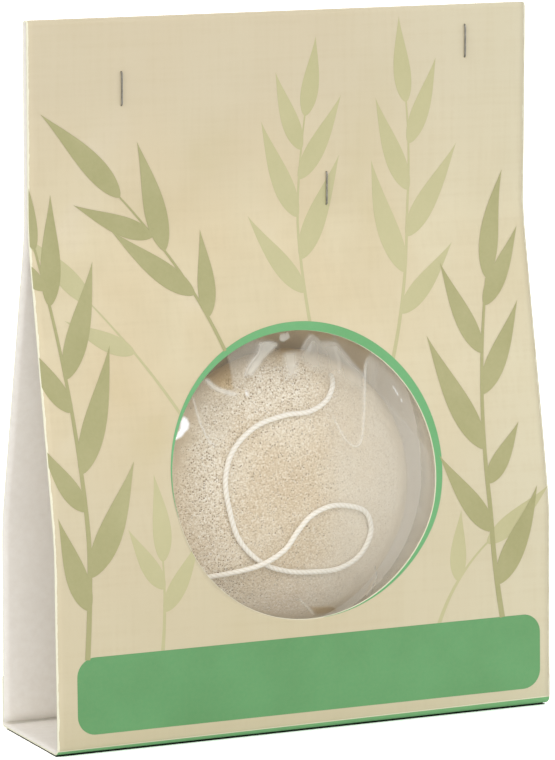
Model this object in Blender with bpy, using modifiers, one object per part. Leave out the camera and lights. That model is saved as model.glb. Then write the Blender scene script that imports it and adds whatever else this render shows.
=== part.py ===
# A round cleansing sponge with its hanging cord, in a clear film bag inside a folded card pack.
# The card is one die-cut blank. It is folded into a tent: a narrow base, a front with a round
# window, a soft top fold and a back whose foot is held by a glue flap. Three wire staples hold
# the header, and the middle one also catches the bag, which can swing a little on its leg.
# Metres, +Z up. The origin is the middle of the base, and the window faces -Y.

import math

import bmesh
import bpy
import numpy as np

# The card pack
PACK_WIDTH = 0.150
PACK_HEIGHT = 0.1967
BASE_DEPTH = 0.0402
CARD_THICKNESS = 0.0005
HEADER_THICKNESS = 0.0029
BEND_HEIGHT = 0.0570
FRONT_LEAN_AT_BEND = 0.0014
THROAT_HEIGHT = 0.1392
BEND_RADIUS = 0.060
FRONT_CREASE_RADIUS = 0.0025
REAR_CREASE_RADIUS = 0.0010
FLAP_HEIGHT = 0.0140

# The window, measured on the front panel from the foot of the card
WINDOW_RADIUS = 0.0398
WINDOW_RISE = 0.0708
WINDOW_SHIFT = 0.0006

# The staples: their legs are a span apart, one above the other. The outer two are set in from
# the card's side edges and down from its top fold.
STAPLE_SPAN = 0.0090
STAPLE_WIRE = 0.0005
STAPLE_BEND_RADIUS = 0.0006
STAPLE_TAIL = 0.0030
LEFT_STAPLE_INSET = 0.0273
LEFT_STAPLE_DROP = 0.0192
RIGHT_STAPLE_INSET = 0.0190
RIGHT_STAPLE_DROP = 0.0102
MIDDLE_STAPLE_SIDE = 0.0135
MIDDLE_STAPLE_RISE = 0.0038

# The sponge: a domed face, a rounded rim and a flat back
SPONGE_RADIUS = 0.0395
SPONGE_HEIGHT = 0.0633
SPONGE_SHIFT = 0.0015
SPONGE_RIM_DEPTH = 0.0055
SPONGE_RIM_ROUNDING = 0.0085
FACE_FIT_SHARE = 0.54
BACK_FIT_SHARE = 0.85

# The cord and the two pricked holes that take its ends
CORD_DIAMETER = 0.0014
RIM_LIFT = 0.0005
HOLE_DIAMETER = 0.0028
HOLE_DEPTH = 0.0050
DIMPLE_RADIUS = 0.0030
DIMPLE_DEPTH = 0.0015

# The film bag
FILM_THICKNESS = 0.0002
FIN_THICKNESS = 0.0010
FRONT_CLEARANCE = 0.0020
BACK_CLEARANCE = 0.0008
HEADER_CLEARANCE = 0.0004
BAG_SIDE_FIN = 0.0050
BAG_SIDE_ROOM = 0.0045
BAG_FOOT_FIN = 0.0060
BAG_FOOT_ROOM = 0.0012
BAG_HEADER_SHIFT = 0.0040
BAG_HEADER_HALF_WIDTH = 0.0250
BAG_HEADER_OVER_PIVOT = 0.0050
BAG_PUFF_SHARE = 0.70

# What is left between pieces that touch, how far a cutter runs past what it cuts, and how near
# two points of one piece have to be to count as one
TOUCH_GAP = 0.0003
CUT_OVERRUN = 0.0020
MERGE_DISTANCE = 0.00001

# Facets
CREASE_STEPS = 5
BEND_STEPS = 7
TOP_FOLD_STEPS = 7
WINDOW_SIDES = 80
HOLE_SIDES = 16
SPONGE_SIDES = 56
FACE_STEPS = 14
RIM_STEPS = 5
BAG_COLUMNS = 20
BAG_LOW_STEPS = 9
BAG_HIGH_STEPS = 9
BAG_NECK_STEPS = 4
CORD_SPACING_SHARE = 2.0
CURVE_READS = 16

# How full the bag's two sheets are: from its middle to its edge a sheet's depth falls as
# (1 - reach ** fullness) ** softness
FRONT_FULLNESS = 2.6
FRONT_SOFTNESS = 0.45
BACK_FULLNESS = 10
BACK_SOFTNESS = 0.5
EDGE_TURN = math.pi / 6

# The route of the cord over the face, as (across, up) shares of the sponge's radius from its
# middle, and the share of one cord's lift with which it climbs over its own earlier run
FACE_ROUTE_SHARES = (
    (0.302, 0.742, 0.0),
    (0.258, 0.674, 0.0),
    (0.205, 0.632, 0.0),
    (0.090, 0.588, 0.0),
    (-0.096, 0.576, 0.0),
    (-0.324, 0.507, 0.0),
    (-0.491, 0.351, 0.0),
    (-0.548, 0.160, 0.0),
    (-0.523, -0.052, 0.0),
    (-0.447, -0.270, 0.0),
    (-0.278, -0.440, 0.0),
    (-0.101, -0.512, 0.0),
    (0.111, -0.539, 0.0),
    (0.339, -0.533, 0.0),
    (0.501, -0.449, 0.0),
    (0.574, -0.288, 0.0),
    (0.522, -0.151, 0.0),
    (0.392, -0.093, 0.0),
    (0.227, -0.076, 0.0),
    (0.069, -0.134, 0.05),
    (-0.029, -0.226, 0.30),
    (-0.129, -0.340, 0.80),
    (-0.280, -0.428, 1.00),
    (-0.433, -0.475, 0.75),
    (-0.633, -0.520, 0.20),
    (-0.780, -0.540, 0.0),
)
RIM_CROSSING_SHARE = (-0.855, -0.518)
BACK_ROUTE_SHARES = ((-0.810, -0.505), (-0.710, -0.475), (-0.625, -0.450))
FACE_HOLE_SHARE = (0.340, 0.812)
BACK_HOLE_SHARE = (-0.560, -0.430)


# Straight runs of the two leaning panels, worked out from the sizes above
HALF_BASE = BASE_DEPTH / 2
HALF_HEADER = HEADER_THICKNESS / 2
BACK_FOOT = HALF_BASE - CARD_THICKNESS - TOUCH_GAP
FRONT_AT_BEND = HALF_BASE - FRONT_LEAN_AT_BEND


def lean_share(height):
    """How far up the leaning run of the panels a height is: 0 at the bend, 1 at the throat."""
    return min(max((height - BEND_HEIGHT) / (THROAT_HEIGHT - BEND_HEIGHT), 0), 1)


def front_inner_y(height):
    """Y of the front panel's inner face at this height, no nearer than at the bend."""
    share = lean_share(height)
    return -FRONT_AT_BEND + share * (FRONT_AT_BEND - HALF_HEADER) + CARD_THICKNESS


def back_inner_y(height):
    """Y of the back panel's inner face at this height."""
    share = lean_share(height)
    return BACK_FOOT - share * (BACK_FOOT - HALF_HEADER) - CARD_THICKNESS


# The sponge is as thick as the space between the panels leaves it. Its flat back comes near
# the back panel at one height, and the cord on its domed face comes near the front at another.
BACK_FIT_HEIGHT = SPONGE_HEIGHT + BACK_FIT_SHARE * SPONGE_RADIUS
FACE_FIT_HEIGHT = SPONGE_HEIGHT + FACE_FIT_SHARE * SPONGE_RADIUS
BACK_FIT_Y = back_inner_y(BACK_FIT_HEIGHT) - BACK_CLEARANCE - FILM_THICKNESS - TOUCH_GAP
INTO_ROUNDING = 1 - (1 - BACK_FIT_SHARE) * SPONGE_RADIUS / SPONGE_RIM_ROUNDING
SPONGE_RIM_Y = BACK_FIT_Y - SPONGE_RIM_DEPTH * math.sqrt(1 - INTO_ROUNDING**2)
CORD_STACK = TOUCH_GAP + CORD_DIAMETER + TOUCH_GAP
FACE_FIT_Y = front_inner_y(FACE_FIT_HEIGHT) + FRONT_CLEARANCE + FILM_THICKNESS + CORD_STACK
SPONGE_DOME = (SPONGE_RIM_Y - FACE_FIT_Y) / math.sqrt(1 - FACE_FIT_SHARE**2)

PIVOT_HEIGHT = THROAT_HEIGHT + MIDDLE_STAPLE_RISE


def clear_scene():
    for old in list(bpy.data.objects):
        bpy.data.objects.remove(old, do_unlink=True)


def new_collection(name):
    made = bpy.data.collections.new(name)
    bpy.context.scene.collection.children.link(made)
    return made


def new_material(name, colour, roughness, metallic, alpha):
    made = bpy.data.materials.new(name)
    made.use_nodes = True
    shader = made.node_tree.nodes["Principled BSDF"]
    shader.inputs["Base Color"].default_value = (*colour, 1.0)
    shader.inputs["Roughness"].default_value = roughness
    shader.inputs["Metallic"].default_value = metallic
    shader.inputs["Alpha"].default_value = alpha
    return made


def new_object(name, data, collection, material):
    made = bpy.data.objects.new(name, data)
    collection.objects.link(made)
    if material:
        made.data.materials.append(material)
    return made


def evaluated_mesh(thing):
    bpy.context.view_layer.update()
    graph = bpy.context.evaluated_depsgraph_get()
    return bpy.data.meshes.new_from_object(thing.evaluated_get(graph))


def cylinder_cutter(name, cutters, radius, length, sides, centre, turn):
    """A cylinder along its own Z, turned by the angles in turn, kept out of the render."""
    work = bmesh.new()
    bmesh.ops.create_cone(
        work,
        cap_ends=True,
        segments=sides,
        radius1=radius,
        radius2=radius,
        depth=length,
    )
    mesh = bpy.data.meshes.new(name)
    work.to_mesh(mesh)
    work.free()
    cutter = new_object(name, mesh, cutters, None)
    cutter.location = centre
    cutter.rotation_euler = turn
    hide_helper(cutter)
    return cutter


def sphere_cutter(name, cutters, radius, sides, centre):
    work = bmesh.new()
    bmesh.ops.create_uvsphere(work, u_segments=sides, v_segments=sides // 2, radius=radius)
    mesh = bpy.data.meshes.new(name)
    work.to_mesh(mesh)
    work.free()
    cutter = new_object(name, mesh, cutters, None)
    cutter.location = centre
    hide_helper(cutter)
    return cutter


def hide_helper(helper):
    helper.hide_render = True
    helper.display_type = "WIRE"


def cut(target, cutter):
    difference = target.modifiers.new("cut by " + cutter.name, "BOOLEAN")
    difference.operation = "DIFFERENCE"
    difference.object = cutter


# The card


def rounded_path(corners, radii, steps):
    """Points of an outline whose inner corners are rounded by arcs, each split into its steps."""
    corners = [np.array(corner) for corner in corners]
    points = [corners[0]]
    for before, corner, after, radius, count in zip(corners, corners[1:], corners[2:], radii, steps):
        arriving = (corner - before) / np.linalg.norm(corner - before)
        leaving = (after - corner) / np.linalg.norm(after - corner)
        turn = math.acos(np.clip(arriving @ leaving, -1, 1))
        inward = (leaving - arriving) / np.linalg.norm(leaving - arriving)
        centre = corner + inward * radius / math.cos(turn / 2)
        first = corner - arriving * radius * math.tan(turn / 2) - centre
        aside = arriving * radius
        for angle in np.linspace(0, turn, count + 1):
            points.append(centre + first * math.cos(angle) + aside * math.sin(angle))
    points.append(corners[-1])
    return np.array(points)


def card_outline():
    """The printed face of the folded card in (y, z), from the top of the glue flap, under the
    base, up the front, over the top fold and down the back to its raw lower edge."""
    corners = (
        (HALF_BASE, FLAP_HEIGHT),
        (HALF_BASE, 0),
        (-HALF_BASE, 0),
        (-FRONT_AT_BEND, BEND_HEIGHT),
        (-HALF_HEADER, THROAT_HEIGHT),
        (-HALF_HEADER, PACK_HEIGHT),
        (HALF_HEADER, PACK_HEIGHT),
        (HALF_HEADER, THROAT_HEIGHT),
        (BACK_FOOT, BEND_HEIGHT),
        (BACK_FOOT, REAR_CREASE_RADIUS + TOUCH_GAP),
    )
    fold = HALF_HEADER
    radii = (
        REAR_CREASE_RADIUS,
        FRONT_CREASE_RADIUS,
        BEND_RADIUS,
        BEND_RADIUS,
        fold,
        fold,
        BEND_RADIUS,
        BEND_RADIUS,
    )
    steps = (
        CREASE_STEPS,
        CREASE_STEPS,
        BEND_STEPS,
        BEND_STEPS,
        TOP_FOLD_STEPS,
        TOP_FOLD_STEPS,
        BEND_STEPS,
        BEND_STEPS,
    )
    points = rounded_path(corners, radii, steps)
    apart = np.linalg.norm(np.diff(points, axis=0), axis=1)
    kept = np.concatenate([[True], apart > MERGE_DISTANCE])
    return points[kept]


def distances_along(points):
    return np.concatenate([[0], np.cumsum(np.linalg.norm(np.diff(points, axis=0), axis=1))])


def outward_steps(points):
    """For each point of the outline, the step that offsets it outward by one unit of thickness:
    the mean direction of its two runs' outward sides, lengthened at a corner."""
    runs = np.diff(points, axis=0)
    runs /= np.linalg.norm(runs, axis=1)[:, None]
    sides = np.stack([-runs[:, 1], runs[:, 0]], axis=1)
    before = np.vstack([sides[:1], sides])
    after = np.vstack([sides, sides[-1:]])
    mean = before + after
    mean /= np.linalg.norm(mean, axis=1)[:, None]
    return mean / np.sum(mean * before, axis=1)[:, None]


def blank_position(outline, along, y_side, height):
    """How far along the flat blank the front (y_side -1) or back (+1) is at this height."""
    top = np.argmax(outline[:, 1])
    if y_side < 0:
        front = slice(np.argmin(outline[:, 0]), top + 1)
        return np.interp(height, outline[front, 1], along[front])
    back = slice(top, len(outline))
    return np.interp(-height, -outline[back, 1], along[back])


def staple_places():
    """Side and middle height of each staple."""
    left_side = LEFT_STAPLE_INSET - PACK_WIDTH / 2
    right_side = PACK_WIDTH / 2 - RIGHT_STAPLE_INSET
    middle_height = PIVOT_HEIGHT + STAPLE_SPAN / 2
    return {
        "staple_left": (left_side, PACK_HEIGHT - LEFT_STAPLE_DROP),
        "staple_middle": (MIDDLE_STAPLE_SIDE, middle_height),
        "staple_right": (right_side, PACK_HEIGHT - RIGHT_STAPLE_DROP),
    }


def flat_blank(outline, along, cutters, parts, material):
    """The flat blank, printed face up: a row of faces for each run of the outline, thickened
    downward, with the window and the staples' leg holes cut out."""
    work = bmesh.new()
    rows = []
    for distance in along:
        left = work.verts.new((-PACK_WIDTH / 2, distance, 0))
        right = work.verts.new((PACK_WIDTH / 2, distance, 0))
        rows.append((left, right))
    for low, high in zip(rows, rows[1:]):
        work.faces.new((low[0], low[1], high[1], high[0]))
    mesh = bpy.data.meshes.new("blank")
    work.to_mesh(mesh)
    work.free()
    blank = new_object("card_wrap", mesh, parts, material)
    thicken = blank.modifiers.new("card thickness", "SOLIDIFY")
    thicken.thickness = CARD_THICKNESS
    thicken.offset = -1
    holes = bpy.data.collections.new("card_cutters")
    cutters.children.link(holes)
    cut_length = CARD_THICKNESS + 2 * CUT_OVERRUN
    flat = (0, 0, 0)
    foot = np.argmin(outline[:, 0])
    window_along = along[foot] + WINDOW_RISE - FRONT_CREASE_RADIUS
    window_centre = (WINDOW_SHIFT, window_along, -CARD_THICKNESS / 2)
    cylinder_cutter(
        "window_cutter", holes, WINDOW_RADIUS, cut_length, WINDOW_SIDES, window_centre, flat
    )
    leg_radius = STAPLE_WIRE / 2 + TOUCH_GAP
    for name, (side, middle) in staple_places().items():
        for half in (-1, 1):
            leg_height = middle + half * STAPLE_SPAN / 2
            for y_side in (-1, 1):
                position = blank_position(outline, along, y_side, leg_height)
                cylinder_cutter(
                    f"{name}_leg_cutter_{half}_{y_side}",
                    holes,
                    leg_radius,
                    cut_length,
                    HOLE_SIDES,
                    (side, position, -CARD_THICKNESS / 2),
                    flat,
                )
    punch = blank.modifiers.new("window and leg holes", "BOOLEAN")
    punch.operation = "DIFFERENCE"
    punch.operand_type = "COLLECTION"
    punch.collection = holes
    return blank


def fold_blank(blank, outline, along):
    """Folds the cut blank: a point's distance along the blank gives its place on the outline,
    and its height over the blank goes outward from there."""
    folded = evaluated_mesh(blank)
    blank.modifiers.clear()
    count = len(folded.vertices)
    flat = np.empty(count * 3)
    folded.vertices.foreach_get("co", flat)
    flat = flat.reshape(count, 3)
    outward = outward_steps(outline)
    shaped = np.empty_like(flat)
    shaped[:, 0] = flat[:, 0]
    for axis in (0, 1):
        base = np.interp(flat[:, 1], along, outline[:, axis])
        offset = np.interp(flat[:, 1], along, outward[:, axis])
        shaped[:, axis + 1] = base + offset * flat[:, 2]
    folded.vertices.foreach_set("co", shaped.ravel())
    folded.update()
    blank.data = folded
    return blank


def make_card(parts, cutters, material):
    outline = card_outline()
    along = distances_along(outline)
    blank = flat_blank(outline, along, cutters, parts, material)
    return fold_blank(blank, outline, along)


# The staples


def make_staple(name, side, middle, parts, material):
    """A closed wire staple: its crown lies on the front, its legs pass through both panels and
    their tails are pressed flat against the back, towards each other."""
    lie = HALF_HEADER + TOUCH_GAP + STAPLE_WIRE / 2
    leg = STAPLE_SPAN / 2
    corners = (
        (lie, middle - leg + STAPLE_TAIL),
        (lie, middle - leg),
        (-lie, middle - leg),
        (-lie, middle + leg),
        (lie, middle + leg),
        (lie, middle + leg - STAPLE_TAIL),
    )
    bends = [STAPLE_BEND_RADIUS] * 4
    points = rounded_path(corners, bends, [CREASE_STEPS - 1] * 4)
    wire = bpy.data.curves.new(name, "CURVE")
    wire.dimensions = "3D"
    wire.bevel_depth = STAPLE_WIRE / 2
    wire.bevel_resolution = 2
    wire.use_fill_caps = True
    run = wire.splines.new("POLY")
    run.points.add(len(points) - 1)
    for spot, (y, z) in zip(run.points, points):
        spot.co = (side, y, z, 1)
    return new_object(name, wire, parts, material)


# The sponge


def make_sponge(parts, cutters, material):
    """A turned body, its face towards -Y: half an ellipse for the dome, a quarter for the rounded
    rim and a flat back, with a pricked and dimpled hole for each end of the cord."""
    profile = []
    for angle in np.linspace(0, math.pi / 2, FACE_STEPS + 1):
        profile.append((SPONGE_RADIUS * math.sin(angle), SPONGE_DOME * math.cos(angle)))
    flat_radius = SPONGE_RADIUS - SPONGE_RIM_ROUNDING
    for angle in np.linspace(0, math.pi / 2, RIM_STEPS + 1)[1:]:
        out = flat_radius + SPONGE_RIM_ROUNDING * math.cos(angle)
        profile.append((out, -SPONGE_RIM_DEPTH * math.sin(angle)))
    profile.append((0, -SPONGE_RIM_DEPTH))
    corners = [(out, 0, up) for out, up in profile]
    runs = [(i, i + 1) for i in range(len(profile) - 1)]
    mesh = bpy.data.meshes.new("sponge")
    mesh.from_pydata(corners, runs, [])
    sponge = new_object("sponge", mesh, parts, material)
    sponge.location = (SPONGE_SHIFT, SPONGE_RIM_Y, SPONGE_HEIGHT)
    sponge.rotation_euler = (math.radians(90), 0, 0)
    turning = sponge.modifiers.new("turning", "SCREW")
    turning.axis = "Z"
    turning.steps = SPONGE_SIDES
    turning.render_steps = SPONGE_SIDES
    turning.use_merge_vertices = True
    turning.merge_threshold = MERGE_DISTANCE
    turning.use_smooth_shade = True
    across_y = (math.radians(90), 0, 0)
    for name, share, side in (("face", FACE_HOLE_SHARE, -1), ("back", BACK_HOLE_SHARE, 1)):
        spot, _ = sponge_surface(share, side)
        length = HOLE_DEPTH + CUT_OVERRUN
        middle = spot - np.array([0, side, 0]) * (HOLE_DEPTH - length / 2)
        radius = HOLE_DIAMETER / 2
        hole = cylinder_cutter(
            name + "_hole_cutter", cutters, radius, length, HOLE_SIDES, middle, across_y
        )
        cut(sponge, hole)
        dimple_centre = spot + np.array([0, side, 0]) * (DIMPLE_RADIUS - DIMPLE_DEPTH)
        dimple = sphere_cutter(
            name + "_dimple_cutter", cutters, DIMPLE_RADIUS, HOLE_SIDES, dimple_centre
        )
        cut(sponge, dimple)
    return sponge


def sponge_surface(share, side):
    """The point of the sponge's skin at these (across, up) shares of its radius, on the face
    (side -1) or the back (+1), and the outward direction there."""
    across, up = share
    reach = math.hypot(across, up)
    radius = SPONGE_RADIUS * reach
    if side < 0:
        y = -SPONGE_DOME * math.sqrt(1 - reach**2)
        tilt = radius / SPONGE_RADIUS**2
        out = y / SPONGE_DOME**2
    else:
        into_rim = (radius - SPONGE_RADIUS + SPONGE_RIM_ROUNDING) / SPONGE_RIM_ROUNDING
        into_rim = max(into_rim, 0)
        y = SPONGE_RIM_DEPTH * math.sqrt(1 - into_rim**2)
        tilt = into_rim / SPONGE_RIM_ROUNDING
        out = math.sqrt(1 - into_rim**2) / SPONGE_RIM_DEPTH
    centre = np.array([SPONGE_SHIFT, SPONGE_RIM_Y, SPONGE_HEIGHT])
    spot = centre + np.array([SPONGE_RADIUS * across, y, SPONGE_RADIUS * up])
    normal = np.array([tilt * across / reach, out, tilt * up / reach])
    return spot, normal / np.linalg.norm(normal)


# The cord


def cord_route():
    """The points that the cord follows: out of the hole in the face, in a loop over the face that
    climbs over its own first run, round the rim and into the hole in the back."""
    lie = TOUCH_GAP + CORD_DIAMETER / 2
    layer = CORD_DIAMETER + 2 * TOUCH_GAP
    route = []
    face_hole, _ = sponge_surface(FACE_HOLE_SHARE, -1)
    inward = HOLE_DEPTH - TOUCH_GAP
    route.append(face_hole + np.array([0, inward, 0]))
    route.append(face_hole + np.array([0, DIMPLE_DEPTH, 0]))
    for across, up, climb in FACE_ROUTE_SHARES:
        spot, normal = sponge_surface((across, up), -1)
        route.append(spot + normal * (lie + climb * layer))
    rim, normal = sponge_surface(RIM_CROSSING_SHARE, -1)
    route.append(rim + normal * (lie + RIM_LIFT))
    for share in BACK_ROUTE_SHARES:
        spot, normal = sponge_surface(share, 1)
        route.append(spot + normal * (lie + RIM_LIFT))
    back_hole, _ = sponge_surface(BACK_HOLE_SHARE, 1)
    route.append(back_hole - np.array([0, DIMPLE_DEPTH, 0]))
    route.append(back_hole - np.array([0, inward, 0]))
    return np.array(route)


def smooth_through(points, spacing):
    """A smooth curve through the route's points (each span is a cubic whose end slopes follow
    its neighbours), read at even distances."""
    padded = np.vstack([2 * points[0] - points[1], points, 2 * points[-1] - points[-2]])
    knots = np.concatenate([[0], np.cumsum(np.linalg.norm(np.diff(padded, axis=0), axis=1) ** 0.5)])
    fine = []
    for i in range(1, len(padded) - 2):
        p0, p1, p2, p3 = padded[i - 1 : i + 3]
        t0, t1, t2, t3 = knots[i - 1 : i + 3]
        t = np.linspace(t1, t2, CURVE_READS, endpoint=False)[:, None]
        a1 = (t1 - t) / (t1 - t0) * p0 + (t - t0) / (t1 - t0) * p1
        a2 = (t2 - t) / (t2 - t1) * p1 + (t - t1) / (t2 - t1) * p2
        a3 = (t3 - t) / (t3 - t2) * p2 + (t - t2) / (t3 - t2) * p3
        b1 = (t2 - t) / (t2 - t0) * a1 + (t - t0) / (t2 - t0) * a2
        b2 = (t3 - t) / (t3 - t1) * a2 + (t - t1) / (t3 - t1) * a3
        fine.append((t2 - t) / (t2 - t1) * b1 + (t - t1) / (t2 - t1) * b2)
    fine = np.vstack(fine + [padded[-2:-1]])
    along = distances_along(fine)
    count = max(2, round(along[-1] / spacing) + 1)
    wanted = np.linspace(0, along[-1], count)
    return np.stack([np.interp(wanted, along, fine[:, axis]) for axis in range(3)], axis=1)


def make_cord(parts, material):
    points = smooth_through(cord_route(), CORD_DIAMETER * CORD_SPACING_SHARE)
    tube = bpy.data.curves.new("cord", "CURVE")
    tube.dimensions = "3D"
    tube.bevel_depth = CORD_DIAMETER / 2
    tube.bevel_resolution = 2
    tube.use_fill_caps = True
    run = tube.splines.new("POLY")
    run.points.add(len(points) - 1)
    for spot, point in zip(run.points, points):
        spot.co = (*point, 1)
    print("cord length", round(float(distances_along(points)[-1]), 4), "points", len(points))
    return new_object("cord", tube, parts, material)


# The film bag


def smooth_step(value, low, high):
    share = np.clip((value - low) / (high - low), 0, 1)
    return share * share * (3 - 2 * share)


def bag_levels():
    """Heights of the bag's rings, closest where the film turns in over and under the sponge."""
    low_reach = SPONGE_RADIUS + BAG_FOOT_ROOM
    high_reach = (THROAT_HEIGHT - SPONGE_HEIGHT) * BAG_PUFF_SHARE
    low_turns = np.linspace(math.pi / 2, 0, BAG_LOW_STEPS + 1)
    high_turns = np.linspace(0, math.pi / 2, BAG_HIGH_STEPS + 1)[1:]
    foot = SPONGE_HEIGHT - low_reach - BAG_FOOT_FIN
    top = PIVOT_HEIGHT + BAG_HEADER_OVER_PIVOT
    shoulder = SPONGE_HEIGHT + high_reach
    return np.concatenate(
        [
            [foot],
            SPONGE_HEIGHT - low_reach * np.sin(low_turns),
            SPONGE_HEIGHT + high_reach * np.sin(high_turns),
            np.linspace(shoulder, THROAT_HEIGHT, BAG_NECK_STEPS + 1)[1:],
            [top],
        ]
    )


def bag_ring(height):
    """One ring of the bag's outer skin: the front sheet from left to right, the rounded right
    edge, the back sheet from right to left and the rounded left edge."""
    low_reach = SPONGE_RADIUS + BAG_FOOT_ROOM
    high_reach = (THROAT_HEIGHT - SPONGE_HEIGHT) * BAG_PUFF_SHARE
    side_reach = SPONGE_RADIUS + BAG_SIDE_ROOM
    sponge_top = SPONGE_HEIGHT + SPONGE_RADIUS
    gather = smooth_step(height, SPONGE_HEIGHT, THROAT_HEIGHT)
    low_half_width = side_reach + BAG_SIDE_FIN
    half_width = low_half_width + gather * (BAG_HEADER_HALF_WIDTH - low_half_width)
    centre = SPONGE_SHIFT + gather * (BAG_HEADER_SHIFT - SPONGE_SHIFT)
    thin = smooth_step(height, sponge_top, THROAT_HEIGHT)
    header_gap = HALF_HEADER - CARD_THICKNESS - HEADER_CLEARANCE
    edge = FIN_THICKNESS / 2 + thin * (header_gap - FIN_THICKNESS / 2)
    seam_y = SPONGE_RIM_Y * (1 - smooth_step(height, FACE_FIT_HEIGHT, THROAT_HEIGHT))
    across = np.sin(np.linspace(-math.pi / 2, math.pi / 2, BAG_COLUMNS + 1)) * (half_width - edge)
    up = height - SPONGE_HEIGHT
    up_share = up / (high_reach if up > 0 else low_reach)
    reach = np.clip(np.hypot(across / side_reach, up_share), 0, 1)
    face_depth = SPONGE_DOME + FILM_THICKNESS + CORD_STACK + CORD_DIAMETER + TOUCH_GAP
    back_depth = SPONGE_RIM_DEPTH + FILM_THICKNESS + CORD_STACK + RIM_LIFT
    front_y = seam_y - edge - face_depth * (1 - reach**FRONT_FULLNESS) ** FRONT_SOFTNESS
    back_y = seam_y + edge + back_depth * (1 - reach**BACK_FULLNESS) ** BACK_SOFTNESS
    clear_front = FRONT_CLEARANCE + thin * (HEADER_CLEARANCE - FRONT_CLEARANCE)
    clear_back = BACK_CLEARANCE + thin * (HEADER_CLEARANCE - BACK_CLEARANCE)
    front_y = np.maximum(front_y, front_inner_y(height) + clear_front)
    back_y = np.minimum(back_y, back_inner_y(height) - clear_back)
    ring = [(centre + x, y, height) for x, y in zip(across, front_y)]
    right = centre + half_width - edge
    left = centre - half_width + edge
    turns = (-EDGE_TURN, EDGE_TURN)
    ring += [(right + edge * math.cos(a), seam_y + edge * math.sin(a), height) for a in turns]
    ring += [(centre + x, y, height) for x, y in zip(across[::-1], back_y[::-1])]
    ring += [(left - edge * math.cos(a), seam_y + edge * math.sin(a), height) for a in turns[::-1]]
    return ring


def make_bag(parts, cutters, material):
    """The outer skin lofted through its rings and closed along its foot, thickened inward, with
    an open mouth at the top and a hole where the middle staple's lower leg passes."""
    work = bmesh.new()
    rings = [[work.verts.new(spot) for spot in bag_ring(height)] for height in bag_levels()]
    size = len(rings[0])
    for low, high in zip(rings, rings[1:]):
        for i in range(size):
            j = (i + 1) % size
            work.faces.new((low[i], low[j], high[j], high[i]))
    foot = rings[0]
    columns = BAG_COLUMNS + 1
    front = foot[:columns]
    back = foot[columns + 2 : 2 * columns + 2][::-1]
    for i in range(BAG_COLUMNS):
        work.faces.new((front[i], back[i], back[i + 1], front[i + 1]))
    work.faces.new((front[-1], back[-1], foot[columns + 1], foot[columns]))
    work.faces.new((back[0], front[0], foot[-1], foot[-2]))
    bmesh.ops.recalc_face_normals(work, faces=work.faces)
    mesh = bpy.data.meshes.new("film_bag")
    work.to_mesh(mesh)
    work.free()
    bag = new_object("film_bag", mesh, parts, material)
    thicken = bag.modifiers.new("film thickness", "SOLIDIFY")
    thicken.thickness = FILM_THICKNESS
    thicken.offset = -1
    thicken.use_even_offset = True
    leg_hole = cylinder_cutter(
        "bag_leg_cutter",
        cutters,
        STAPLE_WIRE / 2 + TOUCH_GAP,
        HEADER_THICKNESS,
        HOLE_SIDES,
        (MIDDLE_STAPLE_SIDE, 0, PIVOT_HEIGHT),
        (math.radians(90), 0, 0),
    )
    cut(bag, leg_hole)
    return bag


def hang_on_pivot(pivot, things):
    """The bag and what it holds hang on the lower leg of the middle staple."""
    bpy.context.view_layer.update()
    for thing in things:
        thing.parent = pivot
        thing.matrix_parent_inverse = pivot.matrix_world.inverted()


def build():
    clear_scene()
    parts = new_collection("packed_cleansing_sponge")
    cutters = new_collection("cutters")
    cutters.hide_render = True
    card_material = new_material("printed card", (0.72, 0.63, 0.42), 0.55, 0.0, 1.0)
    steel_material = new_material("staple wire", (0.30, 0.30, 0.29), 0.30, 1.0, 1.0)
    film_material = new_material("clear film", (0.90, 0.90, 0.90), 0.12, 0.0, 0.25)
    sponge_material = new_material("plant fibre sponge", (0.68, 0.57, 0.42), 0.90, 0.0, 1.0)
    cord_material = new_material("cotton cord", (0.84, 0.81, 0.74), 0.85, 0.0, 1.0)
    make_card(parts, cutters, card_material)
    for name, (side, middle) in staple_places().items():
        make_staple(name, side, middle, parts, steel_material)
    pivot = bpy.data.objects.new("bag_pivot", None)
    parts.objects.link(pivot)
    pivot.location = (MIDDLE_STAPLE_SIDE, 0, PIVOT_HEIGHT)
    bag = make_bag(parts, cutters, film_material)
    sponge = make_sponge(parts, cutters, sponge_material)
    cord = make_cord(parts, cord_material)
    hang_on_pivot(pivot, (bag, sponge, cord))


build()
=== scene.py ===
import functools
import math

import bmesh
import bpy
import numpy as np
from mathutils import Matrix


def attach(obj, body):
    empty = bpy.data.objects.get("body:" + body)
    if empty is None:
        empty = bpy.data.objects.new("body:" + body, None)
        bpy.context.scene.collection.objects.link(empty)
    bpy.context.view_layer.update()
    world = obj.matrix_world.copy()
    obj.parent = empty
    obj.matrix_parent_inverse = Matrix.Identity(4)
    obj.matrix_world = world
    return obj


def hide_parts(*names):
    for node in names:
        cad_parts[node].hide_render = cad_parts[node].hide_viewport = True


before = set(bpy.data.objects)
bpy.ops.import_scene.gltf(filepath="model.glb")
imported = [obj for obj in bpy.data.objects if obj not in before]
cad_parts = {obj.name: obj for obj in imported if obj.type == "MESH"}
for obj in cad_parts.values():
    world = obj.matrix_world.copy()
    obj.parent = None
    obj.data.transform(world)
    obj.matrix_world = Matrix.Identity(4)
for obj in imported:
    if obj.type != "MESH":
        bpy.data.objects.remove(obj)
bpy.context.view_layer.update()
mm = 0.001
print("frame loaded")


# small helpers


def colour(hexText):
    # sRGB hex to linear light: v / 12.92 up to 0.04045, then ((v + 0.055) / 1.055) ** 2.4
    values = [int(hexText[i : i + 2], 16) / 255 for i in (0, 2, 4)]
    return (*[v / 12.92 if v <= 0.04045 else ((v + 0.055) / 1.055) ** 2.4 for v in values], 1.0)


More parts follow.
